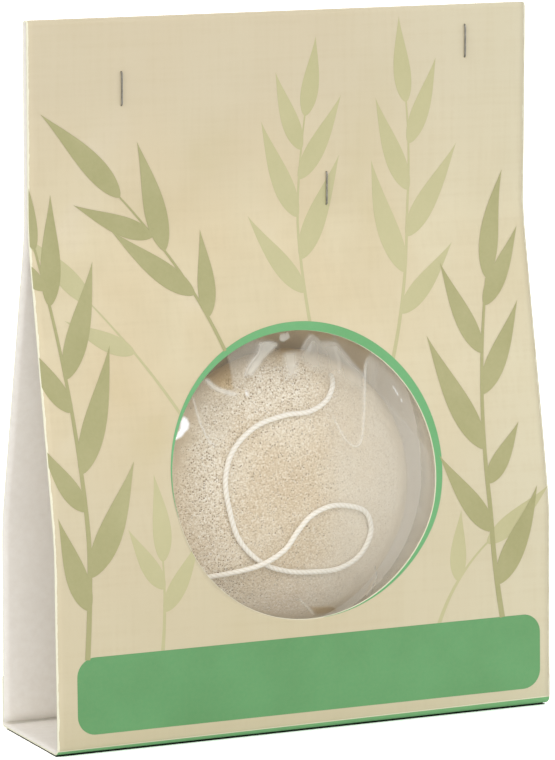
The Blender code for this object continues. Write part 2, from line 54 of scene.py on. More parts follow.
def addNode(tree, kind, inputs=(), stops=(), **settings):
    # one shader node with its settings and a ramp's (place, hex) stops; inputs go to named sockets,
    # or to the first ones in order, and a node given as an input stands for its first output
    made = tree.nodes.new("ShaderNode" + kind)
    for name, value in settings.items():
        setattr(made, name, value)
    if stops:
        band = made.color_ramp.elements
        while len(band) < len(stops):
            band.new(0.5)
        for element, (place, hexText) in zip(band, stops):
            element.position, element.color = place, colour(hexText)
    shown = [socket for socket in made.inputs if socket.enabled]
    for key, value in inputs.items() if isinstance(inputs, dict) else enumerate(inputs):
        socket = made.inputs[key] if isinstance(key, str) else shown[key]
        if isinstance(value, bpy.types.Node):
            value = next(output for output in value.outputs if output.enabled)
        if isinstance(value, bpy.types.NodeSocket):
            tree.links.new(value, socket)
        else:
            socket.default_value = colour(value) if isinstance(value, str) else value
    return made


def emptyTree(owner):
    # addNode for the tree of this material or world, which starts without nodes
    owner.use_nodes = True
    owner.node_tree.nodes.clear()
    return functools.partial(addNode, owner.node_tree)


def newMaterial(name):
    made = bpy.data.materials.new(name)
    return made, emptyTree(made)


def layered(node, body, layers):
    # each (share, colour) layer is laid over what is there
    for share, tone in layers:
        body = node("Mix", (share, body, tone), data_type="RGBA")
    return body


def gridFaces(rows, columns, wrapped=False):
    # quads of a grid of points counted row by row, whose last column meets the first where wrapped
    row = np.arange(rows - 1)[:, None] * columns
    column = np.arange(columns if wrapped else columns - 1)[None, :]
    after = (column + 1) % columns
    corners = [row + column, row + after, row + columns + after, row + columns + column]
    return np.stack([c.ravel() for c in corners], axis=1)


def poleCaps(rows, columns):
    # triangles that close a wrapped grid at both ends, onto the two points that follow it
    column, count = np.arange(columns), rows * columns
    after, last = (column + 1) % columns, count - columns
    first = np.stack([after, column, np.full(columns, count)], axis=1)
    second = np.stack([last + column, last + after, np.full(columns, count + 1)], axis=1)
    return np.vstack([first, second]).tolist()


def newPiece(name, points, faces, materials):
    # a smooth-shaded object from points in any grid and rows of corner numbers
    mesh = bpy.data.meshes.new(name)
    rows = np.asarray(points).reshape(-1, 3).tolist()
    mesh.from_pydata(rows, [], [tuple(f) for f in np.asarray(faces).tolist()])
    mesh.update()
    mesh.shade_smooth()
    piece = bpy.data.objects.new(name, mesh)
    bpy.context.scene.collection.objects.link(piece)
    for material in materials:
        mesh.materials.append(material)
    return piece


def closeMesh(piece, caps=()):
    # the caps go in, loose points go out, and every face points outward
    work = bmesh.new()
    work.from_mesh(piece.data)
    work.verts.ensure_lookup_table()
    for corners in caps:
        work.faces.new([work.verts[i] for i in corners])
    bmesh.ops.delete(work, geom=[v for v in work.verts if not v.link_faces], context="VERTS")
    bmesh.ops.triangulate(work, faces=[f for f in work.faces if len(f.verts) > 4])
    bmesh.ops.recalc_face_normals(work, faces=work.faces)
    work.to_mesh(piece.data)
    work.free()
    piece.data.shade_smooth()


def setTones(piece, tones):
    # one number a point, under a name that the material reads
    for name, values in tones.items():
        attribute = piece.data.attributes.new(name, "FLOAT", "POINT")
        attribute.data.foreach_set("value", np.asarray(values, np.float32).ravel())


def slabFaces(faces, count):
    # faces above, the same below in reverse, and a rim on every edge that only one face has
    edges = np.concatenate([faces[:, [0, 1]], faces[:, [1, 2]], faces[:, [2, 3]], faces[:, [3, 0]]])
    forward, backward = edges[:, 0] * count + edges[:, 1], edges[:, 1] * count + edges[:, 0]
    lone = edges[~np.isin(forward, backward)]
    rim = np.stack([lone[:, 1], lone[:, 0], lone[:, 0] + count, lone[:, 1] + count], axis=1)
    return np.vstack([faces, faces[:, ::-1] + count, rim])


def smoothStep(value, low, high):
    # 0 up to low and 1 from high on, by t^2 (3 - 2t) between them
    share = np.clip((value - low) / (high - low), 0, 1)
    return share * share * (3 - 2 * share)


def latticeNoise(points, cell, seed):
    # value noise, 0 to 1: random numbers on a cubic lattice, blended between by the smooth step
    places = np.asarray(points) / cell
    base = np.floor(places).astype(np.int64)
    part = places - base
    part = part * part * (3 - 2 * part)
    total = 0
    for corner in np.ndindex(2, 2, 2):
        column, row, layer = np.moveaxis(base + np.array(corner), -1, 0)
        key = column * 73856093 ^ row * 19349663 ^ layer * 83492791 ^ seed * 668265263
        key = (key ^ (key >> 13)) * 1274126177 & 0x7FFFFFFF
        value = ((key ^ (key >> 16)) & 0xFFFF) / 0xFFFF
        weight = np.prod(np.where(np.array(corner) == 1, part, 1 - part), axis=-1)
        total = total + value * weight
    return total


def cellRidges(x, z, cell, seed):
    # crumpled sheet: the distance to the nearest of one jittered point a cell: cones that meet in
    # creases
    column, row = np.floor(x / cell).astype(np.int64), np.floor(z / cell).astype(np.int64)
    nearest = np.full(np.shape(x), 9.0)
    for stepX in (-1, 0, 1):
        for stepZ in (-1, 0, 1):
            key = (column + stepX) * 73856093 ^ (row + stepZ) * 19349663
            key = (key ^ seed * 668265263) & 0x7FFFFFFF
            key = (key ^ (key >> 13)) * 1274126177 & 0x7FFFFFFF
            jitterX = ((key ^ (key >> 7)) & 0x3FF) / 0x3FF
            jitterZ = ((key ^ (key >> 17)) & 0x3FF) / 0x3FF
            apartX = x / cell - (column + stepX + jitterX)
            apartZ = z / cell - (row + stepZ + jitterZ)
            nearest = np.minimum(nearest, np.hypot(apartX, apartZ))
    return nearest


def summed(steps):
    # a running total that starts at nought
    return np.concatenate([[0], np.cumsum(steps)])


def smoothThrough(points, spacing):
    # a smooth curve through the points, read at even distances: knots lie the root of the distance
    # apart, and each span blends its four points in pairs, three times, by t's place between knots
    points = np.asarray(points, float)
    padded = np.vstack([2 * points[0] - points[1], points, 2 * points[-1] - points[-2]])
    knots = summed(np.linalg.norm(np.diff(padded, axis=0), axis=1) ** 0.5)
    fine = []
    for i in range(1, len(padded) - 2):
        level, knot = list(padded[i - 1 : i + 3]), knots[i - 1 : i + 3]
        t = np.linspace(knot[1], knot[2], 16, endpoint=False)[:, None]
        for starts, reach in (((0, 1, 2), 1), ((0, 1), 2), ((1,), 1)):
            pairs = zip(level, level[1:], starts)
            level = [
                (knot[k + reach] - t) / (knot[k + reach] - knot[k]) * first
                + (t - knot[k]) / (knot[k + reach] - knot[k]) * second
                for first, second, k in pairs
            ]
        fine.append(level[0])
    fine = np.vstack(fine + [padded[-2:-1]])
    along = summed(np.linalg.norm(np.diff(fine, axis=0), axis=1))
    wanted = np.linspace(0, along[-1], max(2, round(along[-1] / spacing) + 1))
    return np.stack([np.interp(wanted, along, column) for column in fine.T], axis=1)


# camera: fitted to the straight edges of the card in the photograph; angles in degrees

shot = {
    "place": (-0.5518, -1.1738, 0.30558),
    "yaw": 25.157,
    "pitch": 9.237,
    "roll": 0.054,
    "focalPixels": 4759.654,
    "imageHeight": 760,
    "sensor": 36.0,
    "nearest": 0.05,
}


def makeCamera():
    # the view runs along (sin yaw cos pitch, cos yaw cos pitch, -sin pitch), the roll turns right
    # and up about it, and the lens is sensor height times focal pixels over image height
    yaw, pitch, roll = (math.radians(shot[k]) for k in ("yaw", "pitch", "roll"))
    flat = math.cos(pitch)
    ahead = np.array([math.sin(yaw) * flat, math.cos(yaw) * flat, -math.sin(pitch)])
    level = np.array([math.cos(yaw), -math.sin(yaw), 0])
    upright = np.cross(level, ahead)
    right = level * math.cos(roll) + upright * math.sin(roll)
    up = upright * math.cos(roll) - level * math.sin(roll)
    lens = bpy.data.cameras.new("shot")
    lens.sensor_fit = "VERTICAL"
    lens.sensor_height = shot["sensor"]
    lens.lens = shot["sensor"] * shot["focalPixels"] / shot["imageHeight"]
    lens.clip_start = shot["nearest"]
    camera = bpy.data.objects.new("shot", lens)
    turned = Matrix(np.column_stack([right, up, -ahead]).tolist()).to_4x4()
    camera.matrix_world = Matrix.Translation(shot["place"]) @ turned
    bpy.context.scene.collection.objects.link(camera)
    bpy.context.scene.camera = camera


makeCamera()
print("camera set")


# the sponge's surface, which the cord follows too; lengths in metres here and in every dictionary
# below, and routes in shares of the sponge's radius; fitSponge sets the two noughts of the sponge

sponge = {
    "radius": 0.0395,
    "height": 0.0633,
    "shift": 0.0015,
    "rimY": 0.0,
    "rimDepth": 0.0055,
    "rimRounding": 0.0085,
    "dome": 0.0,
    "faceFit": 0.54,
    "backFit": 0.85,
    "around": 360,
    "faceRows": 120,
    "rimRows": 24,
    "backRows": 20,
    "firstTurn": 0.004,
    "lastShare": 0.01,
    "lumps": 0.00030,
    "lumpCells": (0.016, 0.007),
    "narrowLumps": 0.5,
    "pits": 0.00016,
    "pitCells": (0.0016, 0.0009),
    "pitBand": (0.55, 0.9),
    "finePits": 0.6,
}
cord = {
    "diameter": 0.0014,
    "rimLift": 0.0005,
    "holeDepth": 0.0050,
    "dimpleDepth": 0.0015,
    "dimpleRadius": 0.0026,
    "dimpleShown": 0.0007,
    "holeShown": 0.0008,
    "holeRadius": 0.0008,
    "strands": 3,
    "core": 0.95,
    "lobe": 0.10,
    "lobePower": 0.8,
    "fuzz": 0.05,
    "fuzzCell": 0.0005,
    "pitch": 0.0046,
    "around": 30,
    "spacing": 0.00028,
    # across, up, and how far it climbs over its own loop, in diameters
    "faceRoute": (
        (0.302, 0.742, 0.0), (0.258, 0.674, 0.0), (0.205, 0.632, 0.0), (0.09, 0.588, 0.0),
        (-0.096, 0.576, 0.0), (-0.324, 0.507, 0.0), (-0.491, 0.351, 0.0), (-0.548, 0.16, 0.0),
        (-0.523, -0.052, 0.0), (-0.447, -0.27, 0.0), (-0.278, -0.44, 0.0), (-0.101, -0.512, 0.0),
        (0.111, -0.539, 0.0), (0.339, -0.533, 0.0), (0.501, -0.449, 0.0), (0.574, -0.288, 0.0),
        (0.522, -0.151, 0.0), (0.392, -0.093, 0.0), (0.227, -0.076, 0.0), (0.069, -0.134, 0.05),
        (-0.029, -0.226, 0.3), (-0.129, -0.34, 0.8), (-0.28, -0.428, 1.0), (-0.433, -0.475, 0.75),
        (-0.633, -0.52, 0.2), (-0.78, -0.54, 0.0),
    ),
    "rimCrossing": (-0.855, -0.518),
    "backRoute": ((-0.810, -0.505), (-0.710, -0.475), (-0.625, -0.450)),
    "faceHole": (0.340, 0.812),
    "backHole": (-0.560, -0.430),
}
card = {
    "width": 0.150,
    "height": 0.1967,
    "baseDepth": 0.0402,
    "thickness": 0.0005,
    "header": 0.0029,
    "bendHeight": 0.0570,
    "leanAtBend": 0.0014,
    "throat": 0.1392,
    "bendRadius": 0.060,
    "frontCrease": 0.0025,
    "rearCrease": 0.0010,
    "flap": 0.0140,
    "windowRadius": 0.0398,
    "windowRise": 0.0708,
    "windowShift": 0.0006,
    "patch": 0.050,
    "patchSteps": 60,
    "patchRings": 9,
    "sideColumns": 12,
    "rowStep": 0.0025,
    "arcSteps": 10,
    "wave": 0.00018,
    "waveCell": 0.045,
    "waveFoot": (0.004, 0.03),
    "waveHead": (0.0, 0.012),
    "patchGap": 0.0005,
    "patchCrowding": 1.3,
}
# the gap left where two pieces touch
touch = 0.0003
bag = {
    "film": 0.0002,
    "fin": 0.0010,
    "frontClearance": 0.0020,
    "backClearance": 0.0008,
    "headerClearance": 0.0004,
    "sideFin": 0.0050,
    "sideRoom": 0.0045,
    "footFin": 0.0060,
    "footRoom": 0.0012,
    "headerShift": 0.0040,
    "headerHalfWidth": 0.0250,
    "pivotRise": 0.0038,
    "overPivot": 0.0050,
    "puff": 0.70,
    "frontFullness": 20.0,
    "frontSoftness": 0.50,
    "backFullness": 10,
    "backSoftness": 0.5,
    "easing": 0.0005,
    "closest": 0.0008,
    "fineLow": 0.0270,
    "fineHigh": 0.1140,
    "fineStep": 0.00036,
    "footLevels": 16,
    "headLevels": 36,
    "columns": 250,
    "backColumns": 56,
    "sideCrowding": 0.35,
    "gather": (0.010, 0.150),
    "pleatCells": (0.11, 0.045),
    "pleatStretch": 4.0,
    "pleatLevel": 0.4,
    "pleatRounding": 0.03,
    "pleatBand": (0.084, 0.104),
    "pleatRise": (0.5, 0.10),
    "thinMilk": 0.03,
    "pleatMilk": (0.07, 0.05),
    "pleatGain": (2.2, 2),
    "facetCell": 0.011,
    "facetSqueeze": (1.3, 0.7),
    "facetRise": 0.03,
    "slackFacetRise": 0.06,
    "slackRight": (0.020, 0.038),
    "slackLeft": (0.026, 0.040),
    "edgeFade": 0.008,
    "headFade": (-0.004, 0.012),
    "footFade": (0.020, 0.032),
    "frontSeed": 21,
    "backSeed": 33,
    "backCrumple": 0.6,
    "backMilk": 0.3,
    "crestCover": 1.5,
    "foldStep": 0.0005,
    # in half widths of the fold
    "foldReach": 3.5,
    "foldEnds": (0.0, 0.15),
}


def leanShare(height):
    # 0 at the card's lower bend, 1 at its throat
    return np.clip((height - card["bendHeight"]) / (card["throat"] - card["bendHeight"]), 0, 1)


def frontInnerY(height):
    # the front panel's inner face, straight from the lower bend to the throat
    atBend = card["baseDepth"] / 2 - card["leanAtBend"]
    return -atBend + leanShare(height) * (atBend - card["header"] / 2) + card["thickness"]


def backInnerY(height):
    # the back panel's inner face, likewise
    foot = card["baseDepth"] / 2 - card["thickness"] - touch
    return foot - leanShare(height) * (foot - card["header"] / 2) - card["thickness"]


def fitSponge():
    # the sponge fills the wedge between the panels: its back nears the back panel and its face,
    # with the cord and the film on it, nears the front panel
    backAt = sponge["height"] + sponge["backFit"] * sponge["radius"]
    faceAt = sponge["height"] + sponge["faceFit"] * sponge["radius"]
    backY = backInnerY(backAt) - bag["backClearance"] - bag["film"] - touch
    intoRounding = 1 - (1 - sponge["backFit"]) * sponge["radius"] / sponge["rimRounding"]
    sponge["rimY"] = backY - sponge["rimDepth"] * math.sqrt(1 - intoRounding**2)
    stack = bag["film"] + cord["diameter"] + 2 * touch
    faceY = frontInnerY(faceAt) + bag["frontClearance"] + stack
    sponge["dome"] = (sponge["rimY"] - faceY) / math.sqrt(1 - sponge["faceFit"] ** 2)


def spongeSurface(share, side):
    # the skin's point and outward direction at (across, up) shares of the radius: half an ellipse
    # on the face (side -1), a flat back with a quarter-ellipse rim (side +1)
    across, up = share
    reach = math.hypot(across, up)
    radius = sponge["radius"] * reach
    if side < 0:
        y = -sponge["dome"] * math.sqrt(1 - reach**2)
        tilt = radius / sponge["radius"] ** 2
        out = y / sponge["dome"] ** 2
    else:
        rounding = sponge["rimRounding"]
        intoRim = max((radius - sponge["radius"] + rounding) / rounding, 0)
        y = sponge["rimDepth"] * math.sqrt(1 - intoRim**2)
        tilt = intoRim / rounding
        out = math.sqrt(1 - intoRim**2) / sponge["rimDepth"]
    centre = np.array([sponge["shift"], sponge["rimY"], sponge["height"]])
    spot = centre + np.array([sponge["radius"] * across, y, sponge["radius"] * up])
    normal = np.array([tilt * across / reach, out, tilt * up / reach])
    return spot, normal / np.linalg.norm(normal)


fitSponge()


# the cord: three cotton strands laid together, out of the face, round a loop and into the back


def cottonMaterial():
    # undyed cotton yarn, plied: matt and slightly fuzzy, with painted shade making it darker down
    # in the grooves between the strands; its fibres are drawn 0.4 mm apart, coarser than real ones,
    # so that they show
    made, node = newMaterial("plied cotton")
    place = node("TexCoord").outputs["Object"]
    fibre = node("TexNoise", (place, 2600, 3, 0.6))
    # painted shade: the yarn is darker down in the grooves between the strands
    lay = node("Attribute", attribute_name="lay").outputs["Fac"]
    yarn = node("ValToRGB", (lay,), ((0.0, "E6DFD3"), (0.35, "F3EFE6"), (1.0, "FCFAF5")))
    share = node("Math", (fibre, 0.2), operation="MULTIPLY")
    body = layered(node, yarn, [(share, "F0EBDF")])
    bump = node("Bump", {"Height": fibre, "Strength": 0.35, "Distance": 0.0001})
    sockets = {"Base Color": body, "Roughness": 0.88, "Sheen Weight": 0.25, "Normal": bump}
    node("OutputMaterial", (node("BsdfPrincipled", sockets),))
    return made


def cordRoute():
    # out of the hole in the face, over the skin at half a cord's thickness and the touch along its
    # outward direction, raised where it climbs its own loop, round the rim, and into the back
    lie = touch + cord["diameter"] / 2
    layer = cord["diameter"] + 2 * touch
    inward = cord["holeDepth"] - touch
    faceHole, _ = spongeSurface(cord["faceHole"], -1)
    route = [faceHole + [0, inward, 0], faceHole + [0, cord["dimpleDepth"], 0]]
    for across, up, climb in cord["faceRoute"]:
        spot, normal = spongeSurface((across, up), -1)
        route.append(spot + normal * (lie + climb * layer))
    rim, normal = spongeSurface(cord["rimCrossing"], -1)
    route.append(rim + normal * (lie + cord["rimLift"]))
    for share in cord["backRoute"]:
        spot, normal = spongeSurface(share, 1)
        route.append(spot + normal * (lie + cord["rimLift"]))
    backHole, _ = spongeSurface(cord["backHole"], 1)
    route += [backHole - [0, cord["dimpleDepth"], 0], backHole - [0, inward, 0]]
    return np.array(route)


def sweepFrames(path):
    # two directions square to the path and to each other, which turn no more than the path does
    ahead = np.gradient(path, axis=0)
    ahead /= np.linalg.norm(ahead, axis=1)[:, None]
    side, sides = np.cross(ahead[0], [0.0, 0.31, 0.95]), []
    for direction in ahead:
        side = side - direction * (side @ direction)
        side = side / np.linalg.norm(side)
        sides.append(side)
    return np.array(sides), np.cross(ahead, sides)


def makeCord():
    # around the path the radius is R (core + lobe |cos(strands (angle - turn) / 2)|^lobePower): one
    # lobe a strand, turned once round in each pitch, and closed by a cone at each end; the fuzz is
    # noise, read off the path by the radius along (1, 2, 3), so that it differs round the cord
    path = smoothThrough(cordRoute(), cord["spacing"])
    sideA, sideB = sweepFrames(path)
    along = summed(np.linalg.norm(np.diff(path, axis=0), axis=1))
    angle = np.linspace(0, 2 * math.pi, cord["around"], endpoint=False)[None, :]
    turn = (2 * math.pi * along / cord["pitch"])[:, None]
    lobe = np.abs(np.cos(cord["strands"] * (angle - turn) / 2))
    radius = cord["diameter"] / 2 * (cord["core"] + cord["lobe"] * lobe ** cord["lobePower"])
    spread = path[:, None, :] + radius[..., None] * np.array([1, 2, 3])
    radius = radius * (1 + cord["fuzz"] * (latticeNoise(spread, cord["fuzzCell"], 5) - 0.5))
    rings = path[:, None, :] + sideA[:, None, :] * (radius * np.cos(angle))[..., None]
    rings = rings + sideB[:, None, :] * (radius * np.sin(angle))[..., None]
    points = np.vstack([rings.reshape(-1, 3), path[:1], path[-1:]])
    faces = gridFaces(*radius.shape, wrapped=True)
    piece = newPiece("twistedCord", points, faces, [cottonMaterial()])
    closeMesh(piece, poleCaps(*radius.shape))
    setTones(piece, {"lay": np.append(lobe, [0.5, 0.5])})
    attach(piece, "bag")
    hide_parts("cord")
    sparse = smoothThrough(cordRoute(), cord["diameter"])


makeCord()
print("cord laid")


# the sponge: dried plant-fibre foam, moulded, with a fine open skin


def poreLayer(node, place, perMetre, low, spread, sharp):
    # one pore a cell: its radius is low + spread (the cell's random share)^2, in shares of a cell,
    # and its edge fades over 1 / sharp of a cell
    cells = node("TexVoronoi", {"Vector": place, "Scale": perMetre})
    random = node("SeparateColor", (cells.outputs["Color"],))
    squared = node("Math", (random, 2.0), operation="POWER")
    width = node("Math", (squared, spread, low), operation="MULTIPLY_ADD")
    inside = node("Math", (width, cells), operation="SUBTRACT")
    return node("MapRange", (inside, 0.0, 1 / sharp))


def foamMaterial():
    # dried plant foam: matt, cream with tan patches, peppered with open pores of 0.2 to 0.8 mm and
    # pale fibre ends between them; the skin is closed round the rim and darker there, partly as
    # painted shade of the rim; it is coarser at the left and top and paler there as painted light,
    # which at the top lifts the shade under the window's upper edge; at the right it is quiet and
    # paler, a painted veil of the light that the milky film scatters there, and the right rim is
    # paler still, painted light against its shade
    made, node = newMaterial("dried plant foam")
    place = node("TexCoord").outputs["Object"]
    x, _, z = node("SeparateXYZ", (place,)).outputs
    quietSpan, topSpan, radius = (0.005, 0.0193), (0.080, 0.0891), sponge["radius"]
    quiet = node("MapRange", (x, *quietSpan))
    left = node("MapRange", (x, -0.012, -0.0231))
    top = node("MapRange", (z, *topSpan))
    corner = node("Math", (left, top), operation="MAXIMUM")
    loud = node("MapRange", (x, *quietSpan, 1.0, 0.0))
    # the left and top: coarser grain and pores there, and painted light that makes them paler
    litAndCoarse = node("Math", (corner, loud), operation="MULTIPLY")
    # how far in from the closed rim a place lies, with a rim that wanders by up to 5 mm
    flat = node("Mapping", {"Vector": place, "Scale": (1, 0, 1)})
    middle = (sponge["shift"], 0, sponge["height"])
    away = node("VectorMath", (flat, middle), operation="DISTANCE")
    wander = node("TexNoise", (place, 240))
    reach = node("Math", (wander, 0.005, away), operation="MULTIPLY_ADD")
    closedFrom = node("MapRange", (z, *topSpan, radius * 0.97, radius * 1.05))
    inward = node("Math", (closedFrom, reach), operation="SUBTRACT")
    opened = node("MapRange", (inward, 0.0, 1 / 300))
    # four strengths: of the pores, of the grain, of the fine pores, and of the wide ones by patches
    openness = node("MapRange", (quiet, 0.0, 1.0, 0.92, 0.42))
    depth = node("Math", (opened, openness), operation="MULTIPLY")
    coarseness = node("MapRange", (litAndCoarse, 0.0, 1.0, 0.45, 0.70))
    grainy = node("Math", (depth, coarseness), operation="MULTIPLY")
    zone = node("MapRange", (node("TexNoise", (place, 85)), 0.25, 0.6346))
    zoned = node("MapRange", (zone, 0.0, 1.0, 0.55, 0.85))
    coarseDepth = node("MapRange", (litAndCoarse, 0.0, 1.0, 0.90, 1.45))
    darkness = node("Math", (zoned, coarseDepth), operation="MULTIPLY")
    # the patterns: soft patches of 24 mm, grain of half a millimetre, fibre ends and three pores
    patches = node("TexNoise", (place, 42, 3, 0.55))
    tans = ((0.32, "D5C2A5"), (0.50, "DCCDB4"), (0.70, "E6DCC9"))
    grain = node("TexNoise", (place, 1900, 1.5, 0.65))
    layers = ((1.1, 1600, 0.10, 0.40, 6), (1.0, 1750, 0.12, 0.36, 6))
    layers += ((0.9, 800, -0.08, 0.36, 8), (1.2, 900, -0.02, 0.30, 9))
    ends, fine, large, sparse = (
        poreLayer(node, node("Mapping", {"Vector": place, "Scale": (apart,) * 3}), *values)
        for apart, *values in layers
    )
    lightGrain = node("MapRange", (grain, 0.525, 0.65))
    pale = node("Math", (lightGrain, ends), operation="MAXIMUM")
    deepFine = node("Math", (fine, depth), operation="MULTIPLY")
    deepLarge = node("Math", (large, depth), operation="MULTIPLY")
    sparseness = node("MapRange", (quiet, 0.0, 1.0, 0.75, 0.40))
    body = layered(
        node,
        node("ValToRGB", (patches,), tans),
        (
            # painted veil of light: paler toward the right, where the milky film in front scatters
            # light
            (node("MapRange", (x, *quietSpan, 0.0, 0.28)), "F0ECDF"),
            # painted light: paler at the left and top
            (node("MapRange", (litAndCoarse, 0.0, 1.0, 0.0, 0.45)), "EBE4D6"),
            # the closed rim skin, darker, partly as painted shade of the rim
            (node("MapRange", (opened, 0.0, 1.0, 0.65, 0.0)), "CBBBA1"),
            # painted light: the right rim paler, against the shade that falls on it
            (node("MapRange", (x, 0.022, 0.0387, 0.0, 0.50)), "F3EFE4"),
            (node("MapRange", (grain, 0.4625, 0.3375, 0.0, grainy)), "A48B6B"),
            (node("Math", (pale, grainy), operation="MULTIPLY"), "FFFDF8"),
            (node("Math", (deepFine, darkness), operation="MULTIPLY"), "8C7457"),
            (node("MapRange", (zone, 0.0, 1 / 0.75, 0.0, deepLarge)), "877156"),
            (node("Math", (sparse, sparseness), operation="MULTIPLY"), "7A6650"),
        ),
    )
    pits = node("Math", (deepFine, deepLarge), operation="MAXIMUM")
    relief = node("Math", (grain, 0.5), operation="MULTIPLY")
    height = node("Math", (relief, pits), operation="SUBTRACT")
    bump = node("Bump", {"Height": height, "Strength": 0.45, "Distance": 0.0002})
    sockets = {"Base Color": body, "Roughness": 0.95, "Specular IOR Level": 0.2, "Normal": bump}
    node("OutputMaterial", (node("BsdfPrincipled", sockets),))
    return made


def makeSponge():
    # a turned profile: x = R sin t, depth = D cos t over the face, a quarter ellipse at the rim and
    # a flat back, then every point moves along its normal by lumps, pits and two dimpled holes
    radius, dome, rounding = sponge["radius"], sponge["dome"], sponge["rimRounding"]
    faceTurn = np.linspace(sponge["firstTurn"], math.pi / 2, sponge["faceRows"])
    rimTurn = np.linspace(0, math.pi / 2, sponge["rimRows"])[1:]
    flat = np.linspace(1, sponge["lastShare"], sponge["backRows"])[1:] * (radius - rounding)
    rim = radius - rounding + rounding * np.cos(rimTurn)
    out = np.concatenate([radius * np.sin(faceTurn), rim, flat])
    back = np.full(len(flat), sponge["rimDepth"])
    deep = np.concatenate([-dome * np.cos(faceTurn), sponge["rimDepth"] * np.sin(rimTurn), back])
    slopeOut, slopeDeep = np.gradient(out), np.gradient(deep)
    norm = np.hypot(slopeOut, slopeDeep)
    angle = np.linspace(0, 2 * math.pi, sponge["around"], endpoint=False)

    def turned(outward, depth):
        across, up = outward[:, None] * np.cos(angle), outward[:, None] * np.sin(angle)
        return np.stack([across, np.broadcast_to(depth[:, None], across.shape), up], axis=-1)

    points = turned(out, deep) + np.array([sponge["shift"], sponge["rimY"], sponge["height"]])
    normals = turned(slopeDeep / norm, -slopeOut / norm)
    broad, narrow = (latticeNoise(points, c, i + 1) for i, c in enumerate(sponge["lumpCells"]))
    coarse, fine = (latticeNoise(points, c, i + 3) for i, c in enumerate(sponge["pitCells"]))
    share, pitted = sponge["narrowLumps"], smoothStep(coarse, *sponge["pitBand"])
    shift = sponge["lumps"] * (broad + share * narrow - (1 + share) / 2) * 2
    shift = shift - sponge["pits"] * (pitted + sponge["finePits"] * fine)
    for share, side in ((cord["faceHole"], -1), (cord["backHole"], 1)):
        spot, _ = spongeSurface(share, side)
        apart = np.hypot(points[..., 0] - spot[0], points[..., 2] - spot[2])
        sameSide = (points[..., 1] - sponge["rimY"]) * side > 0
        dimple = cord["dimpleShown"] * np.exp(-((apart / cord["dimpleRadius"]) ** 2))
        hole = cord["holeShown"] * np.exp(-((apart / cord["holeRadius"]) ** 6))
        shift = shift - np.where(sameSide, dimple + hole, 0)
    points = points + normals * shift[..., None]
    poles = np.array([points[0].mean(axis=0), points[-1].mean(axis=0)])
    faces = gridFaces(*norm.shape, sponge["around"], wrapped=True)
    points = np.vstack([points.reshape(-1, 3), poles])
    piece = newPiece("foamSponge", points, faces, [foamMaterial()])
    closeMesh(piece, poleCaps(len(norm), sponge["around"]))
    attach(piece, "bag")
    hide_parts("sponge")


makeSponge()
print("sponge shaped")


# the card: one folded blank of printed board


def roundedPath(corners, radii):
    # straight runs split evenly and joined by arcs that touch both runs
    corners = [np.array(corner, float) for corner in corners]
    stations = [corners[0]]
    for before, corner, after, radius in zip(corners, corners[1:], corners[2:], radii):
        arriving = (corner - before) / np.linalg.norm(corner - before)
        leaving = (after - corner) / np.linalg.norm(after - corner)
        turn = math.acos(np.clip(arriving @ leaving, -1, 1))
        inward = (leaving - arriving) / np.linalg.norm(leaving - arriving)
        centre = corner + inward * radius / math.cos(turn / 2)
        first = corner - arriving * radius * math.tan(turn / 2) - centre
        for angle in np.linspace(0, turn, card["arcSteps"] + 1):
            stations.append(centre + first * math.cos(angle) + arriving * radius * math.sin(angle))
    stations.append(corners[-1])
    points = [stations[0]]
    for before, after in zip(stations, stations[1:]):
        length = np.linalg.norm(after - before)
        if length < 1e-6:
            continue
        steps = max(1, math.ceil(length / card["rowStep"]))
        points += [before + (after - before) * i / steps for i in range(1, steps + 1)]
    return np.array(points)


def cardOutline():
    # the printed face in (y, z): glue flap, base, front, top fold, back
    half = card["baseDepth"] / 2
    fold = card["header"] / 2
    atBend = half - card["leanAtBend"]
    backFoot = half - card["thickness"] - touch
    corners = (
        (half, card["flap"]),
        (half, 0),
        (-half, 0),
        (-atBend, card["bendHeight"]),
        (-fold, card["throat"]),
        (-fold, card["height"]),
        (fold, card["height"]),
        (fold, card["throat"]),
        (backFoot, card["bendHeight"]),
        (backFoot, card["rearCrease"] + touch),
    )
    bend = card["bendRadius"]
    radii = (card["rearCrease"], card["frontCrease"], bend, bend, fold, fold, bend, bend)
    points = roundedPath(corners, radii)
    runs = np.diff(points, axis=0)
    lengths = np.linalg.norm(runs, axis=1)
    sides = np.stack([-runs[:, 1], runs[:, 0]], axis=1) / lengths[:, None]
    normals = np.vstack([sides[:1], sides[:-1] + sides[1:], sides[-1:]])
    normals /= np.linalg.norm(normals, axis=1)[:, None]
    return {"points": points, "along": summed(lengths), "normals": normals}


outline = cardOutline()
footAlong = outline["along"][np.argmin(outline["points"][:, 0])]


def fromFoot(height):
    # a height up the front panel, measured on the card, as a distance along the blank
    return footAlong + height - card["frontCrease"]


windowAlong = fromFoot(card["windowRise"])


def onCard(x, along, lift):
    # the blank's place goes to the same distance along the folded outline, the lift goes outward,
    # and the board has a slow warp of a fraction of a millimetre
    x, along = np.broadcast_arrays(np.asarray(x, float), np.asarray(along, float))
    y, z = (np.interp(along, outline["along"], column) for column in outline["points"].T)
    outY, outZ = (np.interp(along, outline["along"], column) for column in outline["normals"].T)
    flatPlace = np.stack([x, along, np.zeros_like(x)], axis=-1)
    warp = (latticeNoise(flatPlace, card["waveCell"], 11) - 0.5) * 2 * card["wave"]
    free = smoothStep(z, *card["waveFoot"]) * smoothStep(card["height"] - z, *card["waveHead"])
    lift = lift + warp * free
    return np.stack([x, y + outY * lift, z + outZ * lift], axis=-1)


